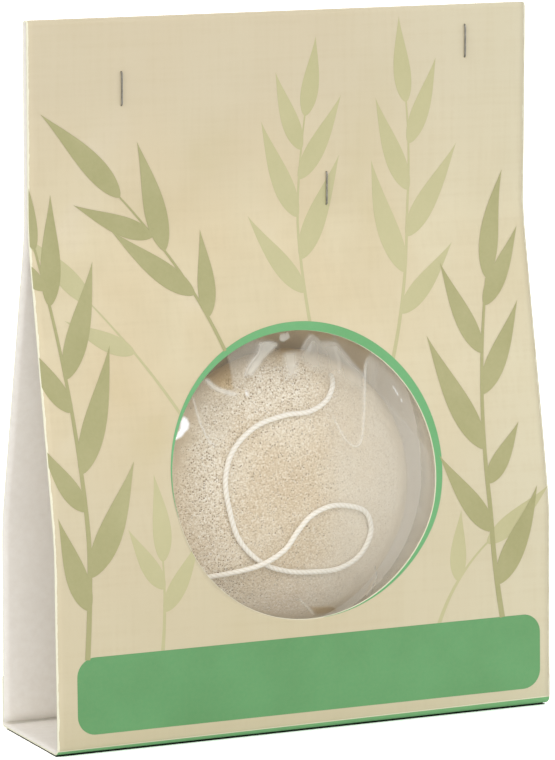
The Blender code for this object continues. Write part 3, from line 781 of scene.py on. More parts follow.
ink = {
    "lift": 0.00004,
    "wall": 0.00002,
    "step": 0.000001,
    "clear": 0.00002,
    "thinnest": 0.00005,
    "sharpDegrees": 35,
    "banner": {"left": -0.0691, "right": 0.0719, "low": 0.0050, "high": 0.0262, "corner": 0.0053},
    "bannerGrid": (41, 71),
    "ring": {"side": 0.0015, "rise": 0.0720, "radius": 0.0410, "bare": 0.00010},
    "ringGrid": (5, 721),
    "ringBare": {"turn": 0.2, "band": (0.1, 0.6)},
    "stripe": {"under": 0.0035, "left": 0.0010, "right": 0.0020, "crest": 0.00014},
    "stripeGrid": (13, 61),
    "stripeEnds": 0.0001,
}


def boardMaterials():
    # litho-printed board: a parchment ground in soft cream, tan and greenish clouds with a faint
    # laid grain, under a light satin varnish; the print is thin and worn pale at the cut edges
    printed, node = newMaterial("litho-printed board")
    place = node("TexCoord").outputs["Object"]
    x, _, z = node("SeparateXYZ", (place,)).outputs
    clouds = node("TexNoise", (place, 26, 3, 0.55))
    creams = ((0.30, "CDBE94"), (0.46, "D5C7A5"), (0.60, "DACDAC"), (0.75, "DED2B9"))
    # warm clouds, and the paper's lines of 1.4 mm both ways
    warm, laid, wove = (
        node("TexNoise", (node("Mapping", {"Vector": place, "Scale": scale}), perMetre))
        for scale, perMetre in (((1, 1, 0.6), 38), ((1, 1, 0.05), 700), ((0.05, 1, 1), 700))
    )
    lines = node("Math", (laid, wove), operation="ADD")
    grain = node("Math", (lines, 0.5), operation="MULTIPLY")
    # the cut edges in the blank's own flat place, the sides frayed by up to 0.9 mm and the window,
    # and a painted highlight on the crest of the crease along the stripe
    blank = node("UVMap", uv_map="blankPlace")
    across, along, _ = node("SeparateXYZ", (blank,)).outputs
    fromMiddle = node("Math", (across,), operation="ABSOLUTE")
    toSide = node("Math", (card["width"] / 2, fromMiddle), operation="SUBTRACT")
    ragged = node("TexNoise", (place, 260, 3, 0.6))
    fray = node("Math", (ragged, 0.0009), operation="MULTIPLY")
    worn = node("Math", (toSide, fray), operation="LESS_THAN")
    middle = (card["windowShift"], windowAlong, 0)
    fromWindow = node("VectorMath", (blank, middle), operation="DISTANCE")
    reach = card["windowRadius"] + ink["ring"]["bare"] + ink["clear"]
    cut = node("Math", (fromWindow, reach), operation="LESS_THAN")
    stripe = ink["stripe"]
    falling = (stripe["left"] - stripe["right"]) / card["width"]
    middleTop = fromFoot((stripe["left"] + stripe["right"]) / 2 + stripe["crest"])
    level = node("Math", (across, falling, along), operation="MULTIPLY_ADD")
    # painted highlight: a pale line along the crest of the crease above the stripe, laid with the
    # worn edges
    crest = node("Math", (level, middleTop, stripe["crest"]), operation="COMPARE")
    foldHighlight = node("Math", (crest, 0.7), operation="MULTIPLY")
    edges = node("Math", (worn, cut), operation="MAXIMUM")
    bare = node("Math", (edges, foldHighlight), operation="MAXIMUM")
    body = layered(
        node,
        node("ValToRGB", (clouds,), creams),
        (
            (node("MapRange", (warm, 0.45, 1.075)), "D9C49E"),
            (node("MapRange", (z, 0.138, 0.1765, 0.0, 0.75)), "CFC3A8"),
            (node("MapRange", (z, 0.095, 0.0647, 0.0, 0.60)), "CFC4A7"),
            (node("MapRange", (z, 0.016, 0.0027, 0.0, 0.80)), "CBC0A0"),
            (node("MapRange", (x, 0.010, 0.0725, 0.0, 0.45)), "D8D3B8"),
            (node("MapRange", (grain, 0.47, 1.72)), "C4B48E"),
            (node("MapRange", (bare, 0.0, 1.0, 0.0, 0.85)), "F3F0D8"),
        ),
    )
    bump = node("Bump", {"Height": grain, "Strength": 0.12, "Distance": 0.0001})
    sockets = {"Base Color": body, "Roughness": 0.52, "Specular IOR Level": 0.35, "Normal": bump}
    node("OutputMaterial", (node("BsdfPrincipled", sockets),))
    # the unprinted side is a grey-white chipboard liner, and the cut edge shows the pulp core
    materials = [printed]
    for name, perMetre, detail, tones, gloss in (
        ("unprinted board", 500, 4, ((0.3, "F2EDE5"), (0.7, "F7F3EC")), (0.8, 0.3)),
        ("cut board edge", 900, 3, ((0.3, "DFDEC4"), (0.7, "EAE8D3")), (0.9, 0.5)),
    ):
        made, node = newMaterial(name)
        place = node("TexCoord").outputs["Object"]
        pulp = node("TexNoise", (place, perMetre, detail, 0.6))
        body = node("ValToRGB", (pulp,), tones)
        sockets = {"Base Color": body, "Roughness": gloss[0], "Specular IOR Level": gloss[1]}
        node("OutputMaterial", (node("BsdfPrincipled", sockets),))
        materials.append(made)
    return materials


def makeCard():
    # a grid over the flat blank with a square left open round the window, and a patch there whose
    # rings run from the window's circle to the square; then every point is folded by onCard
    half, side, steps = card["width"] / 2, card["patch"], card["patchSteps"]
    middle = card["windowShift"]
    line = np.linspace(-side, side, steps + 1)
    left = np.linspace(-half, middle - side, card["sideColumns"] + 1)[:-1]
    right = np.linspace(middle + side, half, card["sideColumns"] + 1)[1:]
    columns = np.concatenate([left, middle + line, right])
    away = np.abs(outline["along"] - windowAlong) > side + card["patchGap"]
    rows = np.sort(np.concatenate([outline["along"][away], windowAlong + line]))
    across, along = np.meshgrid(columns, rows)
    faces = gridFaces(len(rows), len(columns))
    flat = np.stack([across.ravel(), along.ravel()], axis=1)
    centres = np.abs(flat[faces].mean(axis=1) - [middle, windowAlong])
    faces = faces[(centres >= side).any(axis=1)]
    share = np.linspace(-1, 1, steps + 1)[:-1]
    squares, circles = [], []
    for quarter in range(4):
        turn = quarter * math.pi / 2
        cosine, sine = round(math.cos(turn)), round(math.sin(turn))
        corners = [cosine - share * sine, sine + share * cosine]
        squares.append(np.stack(corners, axis=1) * side)
        angle = turn + share * math.pi / 4
        circles.append(np.stack([np.cos(angle), np.sin(angle)], axis=1) * card["windowRadius"])
    square, circle = np.vstack(squares), np.vstack(circles)
    weight = np.linspace(0, 1, card["patchRings"] + 1) ** card["patchCrowding"]
    weight = weight[:, None, None]
    rings = circle * (1 - weight) + square * weight + np.array([middle, windowAlong])
    patchFaces = gridFaces(*rings.shape[:2], wrapped=True)[:, [0, 3, 2, 1]]
    everything = np.vstack([flat, rings.reshape(-1, 2)])
    allFaces = np.vstack([faces, patchFaces + len(flat)])
    # points nearer than a micrometre become one
    grid = np.round(everything / 1e-6).astype(np.int64)
    _, first, index = np.unique(grid, axis=0, return_index=True, return_inverse=True)
    used, allFaces = np.unique(index.ravel()[allFaces], return_inverse=True)
    everything, allFaces = everything[first][used], allFaces.reshape(-1, 4)
    points = onCard(everything[:, 0], everything[:, 1], 0)
    piece = newPiece("printedCard", points, allFaces, boardMaterials())
    layer = piece.data.uv_layers.new(name="blankPlace")
    layer.data.foreach_set("uv", everything[allFaces.ravel()].astype(np.float32).ravel())
    wall = piece.modifiers.new("wall", "SOLIDIFY")
    wall.thickness, wall.offset = card["thickness"], -1
    wall.material_offset, wall.material_offset_rim = 1, 2
    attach(piece, "pack")
    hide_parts("card_wrap")


makeCard()
print("card folded")


# the print: solid shapes of ink laid on the card


def inkMaterial(name, dark, light, through=0.06):
    # offset ink on the parchment ground: flat, with slow clouds of 25 mm and the ground in specks
    made, node = newMaterial(name)
    place = node("TexCoord").outputs["Object"]
    clouds = node("TexNoise", (place, 40, 3, 0.55))
    specks = node("TexNoise", (place, 900, 2, 0.6))
    tone = node("ValToRGB", (clouds,), ((0.3, dark), (0.7, light)))
    share = node("Math", (specks, through), operation="MULTIPLY")
    body = layered(node, tone, [(share, "D8CBA4")])
    sockets = {"Base Color": body, "Roughness": 0.5, "Specular IOR Level": 0.35}
    node("OutputMaterial", (node("BsdfPrincipled", sockets),))
    return made


def layInk(name, patches, material, lift):
    # each patch is a grid of (x, along) places on the blank with those that may be printed; it
    # becomes a thin slab folded onto the card, a micrometre over the patch before it
    tops, bottoms, faces, count = [], [], [], 0
    for turn, (x, along, allowed) in enumerate(patches):
        height = lift + turn * ink["step"]
        tops.append(onCard(x, along, height).reshape(-1, 3))
        bottoms.append(onCard(x, along, height - ink["wall"]).reshape(-1, 3))
        columns = x.shape[1]
        grid = gridFaces(*x.shape)
        if np.allclose(x[:, 0], x[:, -1]) and np.allclose(along[:, 0], along[:, -1]):
            grid = np.where((grid + 1) % columns == 0, grid + 1 - columns, grid)
        faces.append(grid[allowed.ravel()[grid].any(axis=1)] + count)
        count += x.size
    slab = slabFaces(np.vstack(faces), count)
    piece = newPiece(name, np.vstack(tops + bottoms), slab, [material])
    closeMesh(piece)
    piece.data.set_sharp_from_angle(angle=math.radians(ink["sharpDegrees"]))
    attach(piece, "pack")


def makeBanner():
    # rows from the low edge to the high one, crowded at both by a cosine; near the corners each row
    # is drawn in along a quarter circle
    low, high, corner, left, right = (
        ink["banner"][k] for k in ("low", "high", "corner", "left", "right")
    )
    rows, columns = ink["bannerGrid"]
    rise = low + (high - low) * (0.5 - 0.5 * np.cos(np.linspace(0, 1, rows) * math.pi))
    intoCorner = np.maximum(np.maximum(low + corner - rise, rise - high + corner), 0)
    drawnIn = corner - np.sqrt(np.maximum(corner**2 - intoCorner**2, 0))
    starts, ends = (left + drawnIn)[:, None], (right - drawnIn)[:, None]
    x = starts + (ends - starts) * np.linspace(0, 1, columns)[None, :]
    along = np.broadcast_to(fromFoot(rise)[:, None], x.shape)
    material = inkMaterial("green banner ink", "5C965F", "64A169")
    layInk("bannerInk", [(x, along, np.ones(x.shape, bool))], material, ink["lift"])


def makeRing():
    # a crescent between the window's circle and a larger circle off its middle, with a hair of
    # bare card at the window's right
    plan, bare, (rows, around) = ink["ring"], ink["ringBare"], ink["ringGrid"]
    angle = np.linspace(0, 2 * math.pi, around)
    offX, offY = plan["side"] - card["windowShift"], plan["rise"] - card["windowRise"]
    toward = offX * np.cos(angle) + offY * np.sin(angle)
    outer = toward + np.sqrt(toward**2 + plan["radius"] ** 2 - offX**2 - offY**2)
    outer = np.maximum(outer, card["windowRadius"] + ink["clear"])
    toRight = smoothStep(np.cos(angle + bare["turn"]), *bare["band"])
    inner = card["windowRadius"] + plan["bare"] * toRight
    radius = inner + (outer - inner) * np.linspace(0, 1, rows)[:, None]
    x = card["windowShift"] + radius * np.cos(angle)
    along = windowAlong + radius * np.sin(angle)
    printed = np.broadcast_to(outer > inner + ink["thinnest"], x.shape)
    material = inkMaterial("green ring ink", "64A86D", "6DB279")
    layInk("ringInk", [(x, along, printed)], material, ink["lift"] * 2)


def makeStripe():
    # a narrow wedge of green along the front foot, which wraps a little way under the base
    plan, (rows, columns) = ink["stripe"], ink["stripeGrid"]
    half = card["width"] / 2 - ink["stripeEnds"]
    x = np.linspace(-half, half, columns)[None, :]
    share = np.linspace(0, 1, rows)[:, None]
    top = plan["left"] + (plan["right"] - plan["left"]) * (x + half) / (2 * half)
    start = footAlong - card["frontCrease"] * math.pi / 2 - plan["under"]
    along = start + (fromFoot(top) - start) * share
    x = np.broadcast_to(x, along.shape)
    material = inkMaterial("green stripe ink", "6FAE72", "78B87C")
    layInk("stripeInk", [(x, along, np.ones(x.shape, bool))], material, ink["lift"])


makeBanner()
makeRing()
makeStripe()
print("banner, ring and stripe printed")


# generic sprays of narrow leaves on thin stems, in flat card places in millimetres: a stem has its
# foot, its lean and bow in degrees, its length, its width and its leaves; a leaf has its share of
# the stem, its side, its length, its width and how far it opens from the stem in degrees

deepSprays = (
    ((-66, 25.6), 86, 16, 112, 1.5, ((0.12, 1, 27, 6.0, 24), (0.2, -1, 34, 7.0, 30),
      (0.36, 1, 22, 5.2, 34), (0.45, -1, 36, 6.6, 26), (0.6, 1, 24, 5.4, 30),
      (0.68, -1, 33, 6.2, 30), (0.86, -1, 30, 5.6, 18), (0.9, 1, 19, 4.6, 38),
      (1.0, 1, 30, 5.4, 3))),
    ((60, 26.1), 100, -22, 96, 1.6, ((0.1, -1, 30, 6.6, 38), (0.26, 1, 27, 6.0, 34),
      (0.4, -1, 20, 5.0, 40), (0.5, 1, 36, 7.0, 30), (0.66, -1, 29, 5.8, 28),
      (0.78, 1, 28, 5.6, 34), (0.92, -1, 25, 5.2, 24), (1.0, 1, 31, 5.6, 4))),
    ((-20.3, 106.3), 112, 22, 52, 1.0, ((0.2, -1, 24, 5.0, 30), (0.34, 1, 30, 6.0, 26),
      (0.62, -1, 31, 6.2, 26), (0.72, 1, 25, 5.2, 34), (1.0, -1, 33, 6.0, 4))),
)
paleSprays = (
    ((-44, 25.6), 84, 10, 25, 1.1, ((0.45, -1, 22, 5.0, 32), (0.7, 1, 20, 4.8, 34),
      (1.0, -1, 24, 5.2, 6))),
    ((40, 25.6), 70, -30, 27, 1.2, ((0.5, 1, 20, 4.8, 36), (1.0, -1, 25, 5.4, 8))),
    ((6, 111.5), 96, -14, 58, 1.0, ((0.16, 1, 27, 5.6, 36), (0.32, -1, 31, 6.0, 30),
      (0.52, 1, 29, 5.8, 28), (0.7, -1, 26, 5.4, 30), (0.84, 1, 23, 5.0, 30),
      (1.0, -1, 22, 5.0, 5))),
    ((30.2, 100.8), 72, 24, 72, 1.1, ((0.18, -1, 26, 5.4, 34), (0.34, 1, 33, 6.4, 30),
      (0.48, -1, 30, 6.0, 30), (0.66, 1, 28, 5.6, 28), (0.84, -1, 25, 5.2, 26),
      (1.0, 1, 24, 5.0, 4))),
    ((-35.1, 90.1), 122, 10, 39, 0.9, ((0.54, 1, 22, 5.0, 30), (1.0, -1, 28, 5.6, 3))),
)
leafShape = {
    "stemPoints": 60,
    "leafPoints": 44,
    "stripPoints": 7,
    "taper": 0.55,
    "curl": 9,
    "skew": 0.62,
    "point": 1.15,
    "neck": 0.16,
    "margin": 0.15,
    "windowMargin": 0.1,
}


def traced(foot, heading, length):
    # even steps along a heading that turns, added up from the foot
    step = length / (len(heading) - 1)
    steps = (np.cos(heading[:-1]) * step, np.sin(heading[:-1]) * step)
    return [start + summed(run) for start, run in zip(foot, steps)]


def ribbon(x, y, heading, width):
    # a strip of this half width each side of a line; places inside the window or past the card's
    # sides move to its edge and aren't printed
    share = np.linspace(1, -1, leafShape["stripPoints"])[:, None]
    acrossX = x - np.sin(heading) * width * share
    acrossY = y + np.cos(heading) * width * share
    fromX, fromY = acrossX - card["windowShift"] / mm, acrossY - card["windowRise"] / mm
    reach = np.hypot(fromX, fromY)
    edge = card["windowRadius"] / mm + leafShape["windowMargin"]
    limit = card["width"] / 2 / mm - leafShape["margin"]
    allowed = (reach > edge) & (np.abs(acrossX) < limit)
    push = np.where(reach < edge, edge / np.maximum(reach, 1e-6), 1)
    acrossX = fromX * push + card["windowShift"] / mm
    acrossY = fromY * push + card["windowRise"] / mm
    return np.clip(acrossX, -limit, limit) * mm, fromFoot(acrossY * mm), allowed


def layLeaves(name, sprays, material, lift):
    # a stem's heading turns evenly by its bow, a leaf's turns back by its curl, and a leaf's half
    # width is sin(pi t^skew)^point, widest a third of the way along and drawn out to the tip
    count, t = leafShape["stemPoints"], np.linspace(0, 1, leafShape["leafPoints"])
    patches = []
    for foot, lean, bow, length, wide, leaves in sprays:
        heading = np.radians(lean + bow * np.linspace(0, 1, count))
        line = traced(foot, heading, length)
        taper = wide / 2 * (1 - leafShape["taper"] * np.linspace(0, 1, count))
        patches.append(ribbon(*line, heading, taper))
        for share, side, leafLength, leafWide, opens in leaves:
            place = share * (count - 1)
            *leafFoot, start = (np.interp(place, np.arange(count), row) for row in (*line, heading))
            turn = start + math.radians(opens) * side - math.radians(leafShape["curl"] * side) * t
            half = np.sin(math.pi * t ** leafShape["skew"]) ** leafShape["point"]
            half = leafWide / 2 * half + leafShape["neck"] * (1 - t)
            patches.append(ribbon(*traced(leafFoot, turn, leafLength), turn, half))
    layInk(name, patches, material, lift)


paleOlive = inkMaterial("pale olive leaf ink", "BBB78A", "C3BE93", 0.20)
layLeaves("paleLeafInk", paleSprays, paleOlive, ink["lift"] * 0.7)
olive = inkMaterial("olive leaf ink", "9F9D6C", "ADAA7C", 0.16)
layLeaves("deepLeafInk", deepSprays, olive, ink["lift"] * 2.4)
print("leaves printed")


# the film bag

# folds of the front sheet: half width, how far each stands toward the viewer, how milky its crest
# is, and the line that it follows, in millimetres
folds = (
    (0.75, 0.5, 0.62, ((-26.4, 98.4), (-23.7, 95.6), (-21.2, 94.3), (-16.1, 92.9))),
    (0.35, 0.3, 0.5, ((-30.1, 94.4), (-29.2, 89.0), (-28.2, 85.5), (-26.4, 81.6), (-23.3, 78.9))),
    (0.5, 0.3, 0.5, ((-13.8, 96.6), (-13.4, 99.0), (-11.4, 101.5), (-9.2, 103.9), (-8.6, 106.2))),
    (0.4, 0.4, 0.45, ((-8.6, 106.2), (-6.0, 106.5), (-3.4, 105.7))),
    (0.5, 0.3, 0.26, ((3.0, 101.0), (3.9, 103.4), (7.3, 107.3), (10.0, 105.2), (14.0, 104.9),
      (15.9, 101.6), (21.7, 95.9))),
    (0.6, 0.3, 0.26, ((7.3, 107.3), (7.0, 104.6), (5.8, 102.2))),
    (0.6, 0.3, 0.24, ((14.0, 104.9), (15.2, 100.0), (15.0, 95.0))),
    (0.38, 0.25, 0.5, ((10.7, 88.6), (11.4, 85.6), (12.6, 83.0), (14.7, 78.9), (17.5, 76.7),
      (19.2, 77.4), (20.8, 83.2), (22.1, 92.5), (23.1, 98.9), (25.4, 102.6))),
    (0.45, 0.3, 0.26, ((24.7, 92.3), (28.9, 87.4), (34.9, 79.9), (41.4, 71.7))),
    (0.45, 0.5, 0.34, ((21.8, 45.0), (22.7, 39.8), (21.0, 36.2), (19.0, 33.4))),
    (0.4, 0.4, 0.42, ((-1.4, 36.6), (1.7, 33.2), (4.2, 30.4))),
    (0.6, 0.5, 0.26, ((36.0, 58.5), (38.0, 55.5), (38.7, 52.6))),
)

# places on the front sheet, one laid over the next: how softly each ends, its outline in
# millimetres, how milky the film is there, how much painted shade its tint lays on the hollow
# behind it, and its glint, a painted highlight
places = (
    # slack right side
    (4.5, ((9.5, 20), (9.6, 60), (9.1, 72), (10.4, 88), (13, 112), (50, 112),
      (50, 20)), 0.19, 0.0, 0.0),
    # beyond the sponge's rim
    (2.8, ((30.4, 83), (34.3, 74), (36.0, 65), (34.8, 59.2), (31.1, 52.9), (25.7, 44.8), (22.3, 38),
      (24, 20), (50, 20), (50, 90)), 0.22, 0.0, 0.0),
    # above the long crease
    (1.3, ((24.7, 92.3), (28.9, 87.4), (34.9, 79.9), (41.4, 71.7), (50, 62), (50, 112), (26.5, 112),
      (25.6, 101)), 0.16, 0.06, 0.0),
    # beside the flap
    (0.8, ((23.2, 99), (22.1, 92.5), (20.8, 83.2), (19.2, 77.4), (21.5, 80), (24.7, 92.0),
      (27.0, 98), (27.5, 112), (25.0, 112), (25.0, 103)), 0.23, 0.12, 0.0),
    # flap
    (0.7, ((10.9, 88), (12.5, 83.2), (14.7, 78.9), (17.5, 76.9), (19.0, 77.6), (20.6, 83.2),
      (21.9, 92.5), (22.4, 96), (11, 97)), 0.17, 0.0, 0.0),
    # low front
    (4.0, ((-24, 20), (-24, 33), (-10, 41), (4, 45), (30, 52), (30, 20)), 0.23, 0.0, 0.0),
    # left side
    (1.6, ((-29.0, 91), (-29.3, 84), (-31.5, 75.4), (-33.2, 67.4), (-32.6, 58.7), (-29.6, 50.8),
      (-33, 44), (-50, 44), (-50, 104), (-32, 100)), 0.12, 0.2, 0.0),
    # upper left corner
    (1.2, ((-29.5, 93), (-28.5, 86), (-26.6, 82), (-23.5, 79.5), (-19, 84), (-16.5, 92),
      (-21.2, 93.8), (-26.2, 97.5), (-33, 102)), 0.15, 0.05, 0.0),
    # fan under the mouth
    (1.3, ((7.3, 107.4), (3.9, 103.6), (2.6, 101.5), (6.0, 98.5), (11, 97.0), (14.5, 95.0),
      (21.5, 92.0), (22.1, 95.6), (19.4, 98.4), (15.9, 103.4), (14.0, 104.9),
      (10.0, 105.2)), 0.3, 0.12, 0.0),
    # soft light
    (1.5, ((-2.0, 103.9), (2.2, 103.7), (2.2, 99.9), (1.3, 96.8), (-0.9, 96.6),
      (-1.6, 100.1)), 0.38, 0.0, 0.0),
    # left hollow
    (0.45, ((-18.7, 103.7), (-18.0, 99.3), (-17.9, 96.4), (-17.6, 93.4), (-20.8, 94.3),
      (-23.7, 95.9), (-26.2, 98.4), (-36, 106), (-24, 116), (-18.9, 110)), 0.04, 0.62, 0.0),
    # left facet
    (0.6, ((-18.8, 112), (-18.6, 103.7), (-17.9, 99.3), (-17.7, 96.4), (-17.4, 93.0), (-13.9, 96.4),
      (-13.4, 98.9), (-11.8, 101.0), (-9.6, 103.8), (-8.9, 106.4), (-9.2, 112)), 0.22, 0.22, 0.0),
    # wedge
    (0.7, ((-8.7, 106.6), (-5.6, 106.9), (-3.0, 105.7), (-5.4, 103.9), (-8.2, 101.9), (-9.9, 99.9),
      (-12.2, 97.6), (-13.8, 98.2), (-11.7, 101.2), (-9.6, 103.4)), 0.5, 0.0, 0.0),
    # middle hollow
    (1.0, ((-9.2, 107.0), (-6.0, 106.9), (-3.2, 106.0), (-2.7, 103.0), (-0.1, 103.4), (3.2, 103.6),
      (4.6, 105.2), (6.6, 107.8), (9.8, 105.8), (13.8, 105.6), (14.2, 116),
      (-9.4, 116)), 0.02, 0.66, 0.0),
    # right hollow
    (0.5, ((14.3, 106.0), (16.2, 103.4), (19.6, 98.8), (22.2, 96.2), (23.2, 99.2), (24.7, 101.8),
      (25.4, 116), (14.2, 116)), 0.03, 0.52, 0.0),
    # bead at the mouth
    (0.35, ((-2.6, 106.7), (-2.3, 108.3), (0.1, 108.7), (0.6, 107.3),
      (-1.3, 106.3)), 0.46, 0.0, 0.0),
    # low hollow
    (0.5, ((22.4, 40.2), (22.3, 38.0), (20.8, 35.6), (18.9, 33.2), (17.6, 32.0),
      (20.6, 37.2)), 0.05, 0.4, 0.0),
    # low brown place
    (0.5, ((2.3, 33.3), (9.6, 32.7), (11.4, 31.4), (4.7, 30.8)), 0.04, 0.35, 0.0),
    # bright spot
    (0.4, ((-33.2, 88.3), (-32.2, 87.6), (-31.7, 86.3), (-32.1, 84.9), (-33.3, 84.0), (-34.2, 83.0),
      (-36.6, 82.1), (-35.4, 83.8), (-34.5, 85.2), (-34.2, 86.9)), 0.24, 0.0, 0.95),
    # bright tick
    (0.17, ((30.6, 92.0), (30.8, 92.1), (32.2, 89.6), (32.0, 89.5)), 0.2, 0.0, 0.9),
    # small tick
    (0.2, ((32.7, 88.6), (33.1, 88.5), (33.2, 87.6), (32.8, 87.7)), 0.2, 0.0, 0.55),
    # small spark
    (0.25, ((-14.2, 93.9), (-13.6, 93.8), (-13.5, 92.4), (-14.1, 92.5)), 0.2, 0.0, 0.6),
)


def bagLevels():
    # levels close together behind the window, and wider apart below and above it
    foot = sponge["height"] - sponge["radius"] - bag["footRoom"] - bag["footFin"]
    top = card["throat"] + bag["pivotRise"] + bag["overPivot"]
    low, high = bag["fineLow"], bag["fineHigh"]
    below = np.linspace(foot, low, bag["footLevels"])[:-1]
    behind = np.linspace(low, high, round((high - low) / bag["fineStep"]) + 1)
    return np.concatenate([below, behind, np.linspace(high, top, bag["headLevels"])[1:]])


def bagSheets(height, columns):
    # each sheet's depth over the sponge falls as (1 - reach^fullness)^softness, held off the card's
    # panels, and the width gathers to the header
    height = height[:, None]
    low = sponge["radius"] + bag["footRoom"]
    high = (card["throat"] - sponge["height"]) * bag["puff"]
    side = sponge["radius"] + bag["sideRoom"]
    gather = smoothStep(height, sponge["height"], card["throat"])
    lowHalf = side + bag["sideFin"]
    halfWidth = lowHalf + gather * (bag["headerHalfWidth"] - lowHalf)
    centre = sponge["shift"] + gather * (bag["headerShift"] - sponge["shift"])
    thin = smoothStep(height, sponge["height"] + sponge["radius"], card["throat"])
    headerGap = card["header"] / 2 - card["thickness"] - bag["headerClearance"]
    edge = bag["fin"] / 2 + thin * (headerGap - bag["fin"] / 2)
    fitAt = sponge["height"] + sponge["faceFit"] * sponge["radius"]
    seam = sponge["rimY"] * (1 - smoothStep(height, fitAt, card["throat"]))
    even, crowding = np.linspace(-1, 1, columns + 1)[None, :], bag["sideCrowding"]
    across = (1 - crowding) * even + crowding * np.sin(even * math.pi / 2)
    across = across * (halfWidth - edge)
    up = height - sponge["height"]
    upShare = np.where(up > 0, up / high, up / low)
    reach = np.clip(np.hypot(across / side, upShare), 0, 1)
    stack = bag["film"] + cord["diameter"] + 2 * touch
    frontDepth = sponge["dome"] + stack + cord["diameter"] + touch
    backDepth = sponge["rimDepth"] + stack + cord["rimLift"]
    frontY = seam - edge - frontDepth * (1 - reach ** bag["frontFullness"]) ** bag["frontSoftness"]
    backY = seam + edge + backDepth * (1 - reach ** bag["backFullness"]) ** bag["backSoftness"]
    clearFront = bag["frontClearance"] + thin * (bag["headerClearance"] - bag["frontClearance"])
    clearBack = bag["backClearance"] + thin * (bag["headerClearance"] - bag["backClearance"])
    # the greater of the two, (a + b) / 2 + sqrt(((a - b) / 2)^2 + easing^2), so that the film bends
    # without a crease
    held = frontInnerY(height) + clearFront
    frontY = (frontY + held) / 2 + np.hypot((frontY - held) / 2, bag["easing"])
    backY = np.minimum(backY, backInnerY(height) - clearBack)
    shape = {"edge": edge, "seam": seam, "half": halfWidth, "centre": centre}
    return centre + across, frontY, backY, shape


def pleats(x, z, seed):
    # creases that fan out from the gathered header: noise along the angle about the gather point,
    # folded at its middle value with a rounded crest, and strongest between sponge and header
    acrossGather, belowGather = x - bag["gather"][0], bag["gather"][1] - z
    angle = np.arctan2(acrossGather, belowGather)
    away = np.hypot(acrossGather, belowGather)
    place = np.stack([angle, away * bag["pleatStretch"], np.zeros_like(x)], axis=-1)
    strength = smoothStep(z, *bag["pleatBand"])
    creases = []
    for step, cell in enumerate(bag["pleatCells"]):
        middle = latticeNoise(place, cell, seed + step) * 2 - 1
        folded = bag["pleatLevel"] - np.sqrt(middle**2 + bag["pleatRounding"])
        creases.append(folded * strength)
    return creases


def crumple(x, z, seed):
    # slack film: pleats from the header, and faceted hollows that are deeper beside the sponge
    broad, fine = pleats(x, z, seed)
    slack = np.maximum(smoothStep(x, *bag["slackRight"]), smoothStep(-x, *bag["slackLeft"]))
    squeezeX, squeezeZ = bag["facetSqueeze"]
    facets = cellRidges(x * squeezeX, z * squeezeZ, bag["facetCell"], seed) - 0.5
    rise = bag["pleatRise"][0] * broad + bag["pleatRise"][1] * fine
    return (rise + (bag["slackFacetRise"] * slack + bag["facetRise"]) * facets) * mm


def foldsOn(x, z):
    # for each fold the crest is a bell over the distance to its line, fading at both ends
    rise, milky = np.zeros_like(x), np.zeros_like(x)
    for wide, high, milk, route in folds:
        line = smoothThrough(route, bag["foldStep"] / mm) * mm
        reach = bag["foldReach"] * wide * mm
        near = (x > line[:, 0].min() - reach) & (x < line[:, 0].max() + reach)
        near &= (z > line[:, 1].min() - reach) & (z < line[:, 1].max() + reach)
        place = np.stack([x[near], z[near]], axis=-1)
        best = np.full(len(place), 1.0)
        where = np.zeros(len(place))
        for k, (start, run) in enumerate(zip(line, np.diff(line, axis=0))):
            t = np.clip((place - start) @ run / (run @ run), 0, 1)
            gap = np.linalg.norm(place - start - t[:, None] * run, axis=1)
            where = np.where(gap < best, (k + t) / (len(line) - 1), where)
            best = np.minimum(best, gap)
        fade = smoothStep(where, *bag["foldEnds"]) * smoothStep(1 - where, *bag["foldEnds"])
        bell = np.exp(-((best / (wide * mm)) ** 2)) * fade
        rise[near] = np.maximum(rise[near], high * mm * bell)
        milky[near] = np.maximum(milky[near], milk * bell)
    return rise, milky


def within(x, z, border, soft):
    # 0 outside a closed border to 1 inside it: the distance to the nearest side, counted below zero
    # outside, goes through the smooth step
    corners = np.array(border, float)
    apart = np.full(np.shape(x), 1e9)
    inside = np.zeros(np.shape(x), bool)
    for start, end in zip(corners, np.roll(corners, -1, axis=0)):
        run = end - start
        t = np.clip(((x - start[0]) * run[0] + (z - start[1]) * run[1]) / (run @ run), 0, 1)
        gap = np.hypot(x - start[0] - t * run[0], z - start[1] - t * run[1])
        apart = np.minimum(apart, gap)
        if run[1] != 0:
            crosses = (start[1] > z) != (end[1] > z)
            inside ^= crosses & (x < start[0] + (z - start[1]) * run[0] / run[1])
    return smoothStep(np.where(inside, apart, -apart), -soft, soft)


def filmTones(x, z):
    # how milky the film is, how much painted shade its tint lays on the hollow behind it, and its
    # glint, a painted highlight: each place's values take over by its share, on thin film with
    # faint pleats
    milky = bag["thinMilk"]
    creases = pleats(x, z, bag["frontSeed"])
    for crease, milk, gain in zip(creases, bag["pleatMilk"], bag["pleatGain"]):
        milky = milky + milk * np.clip(crease * gain, 0, 1)
    tones = [milky, np.zeros_like(x), np.zeros_like(x)]
    for soft, border, *values in places:
        share = within(x / mm, z / mm, border, soft)
        tones = [tone + share * (value - tone) for tone, value in zip(tones, values)]
    return tones


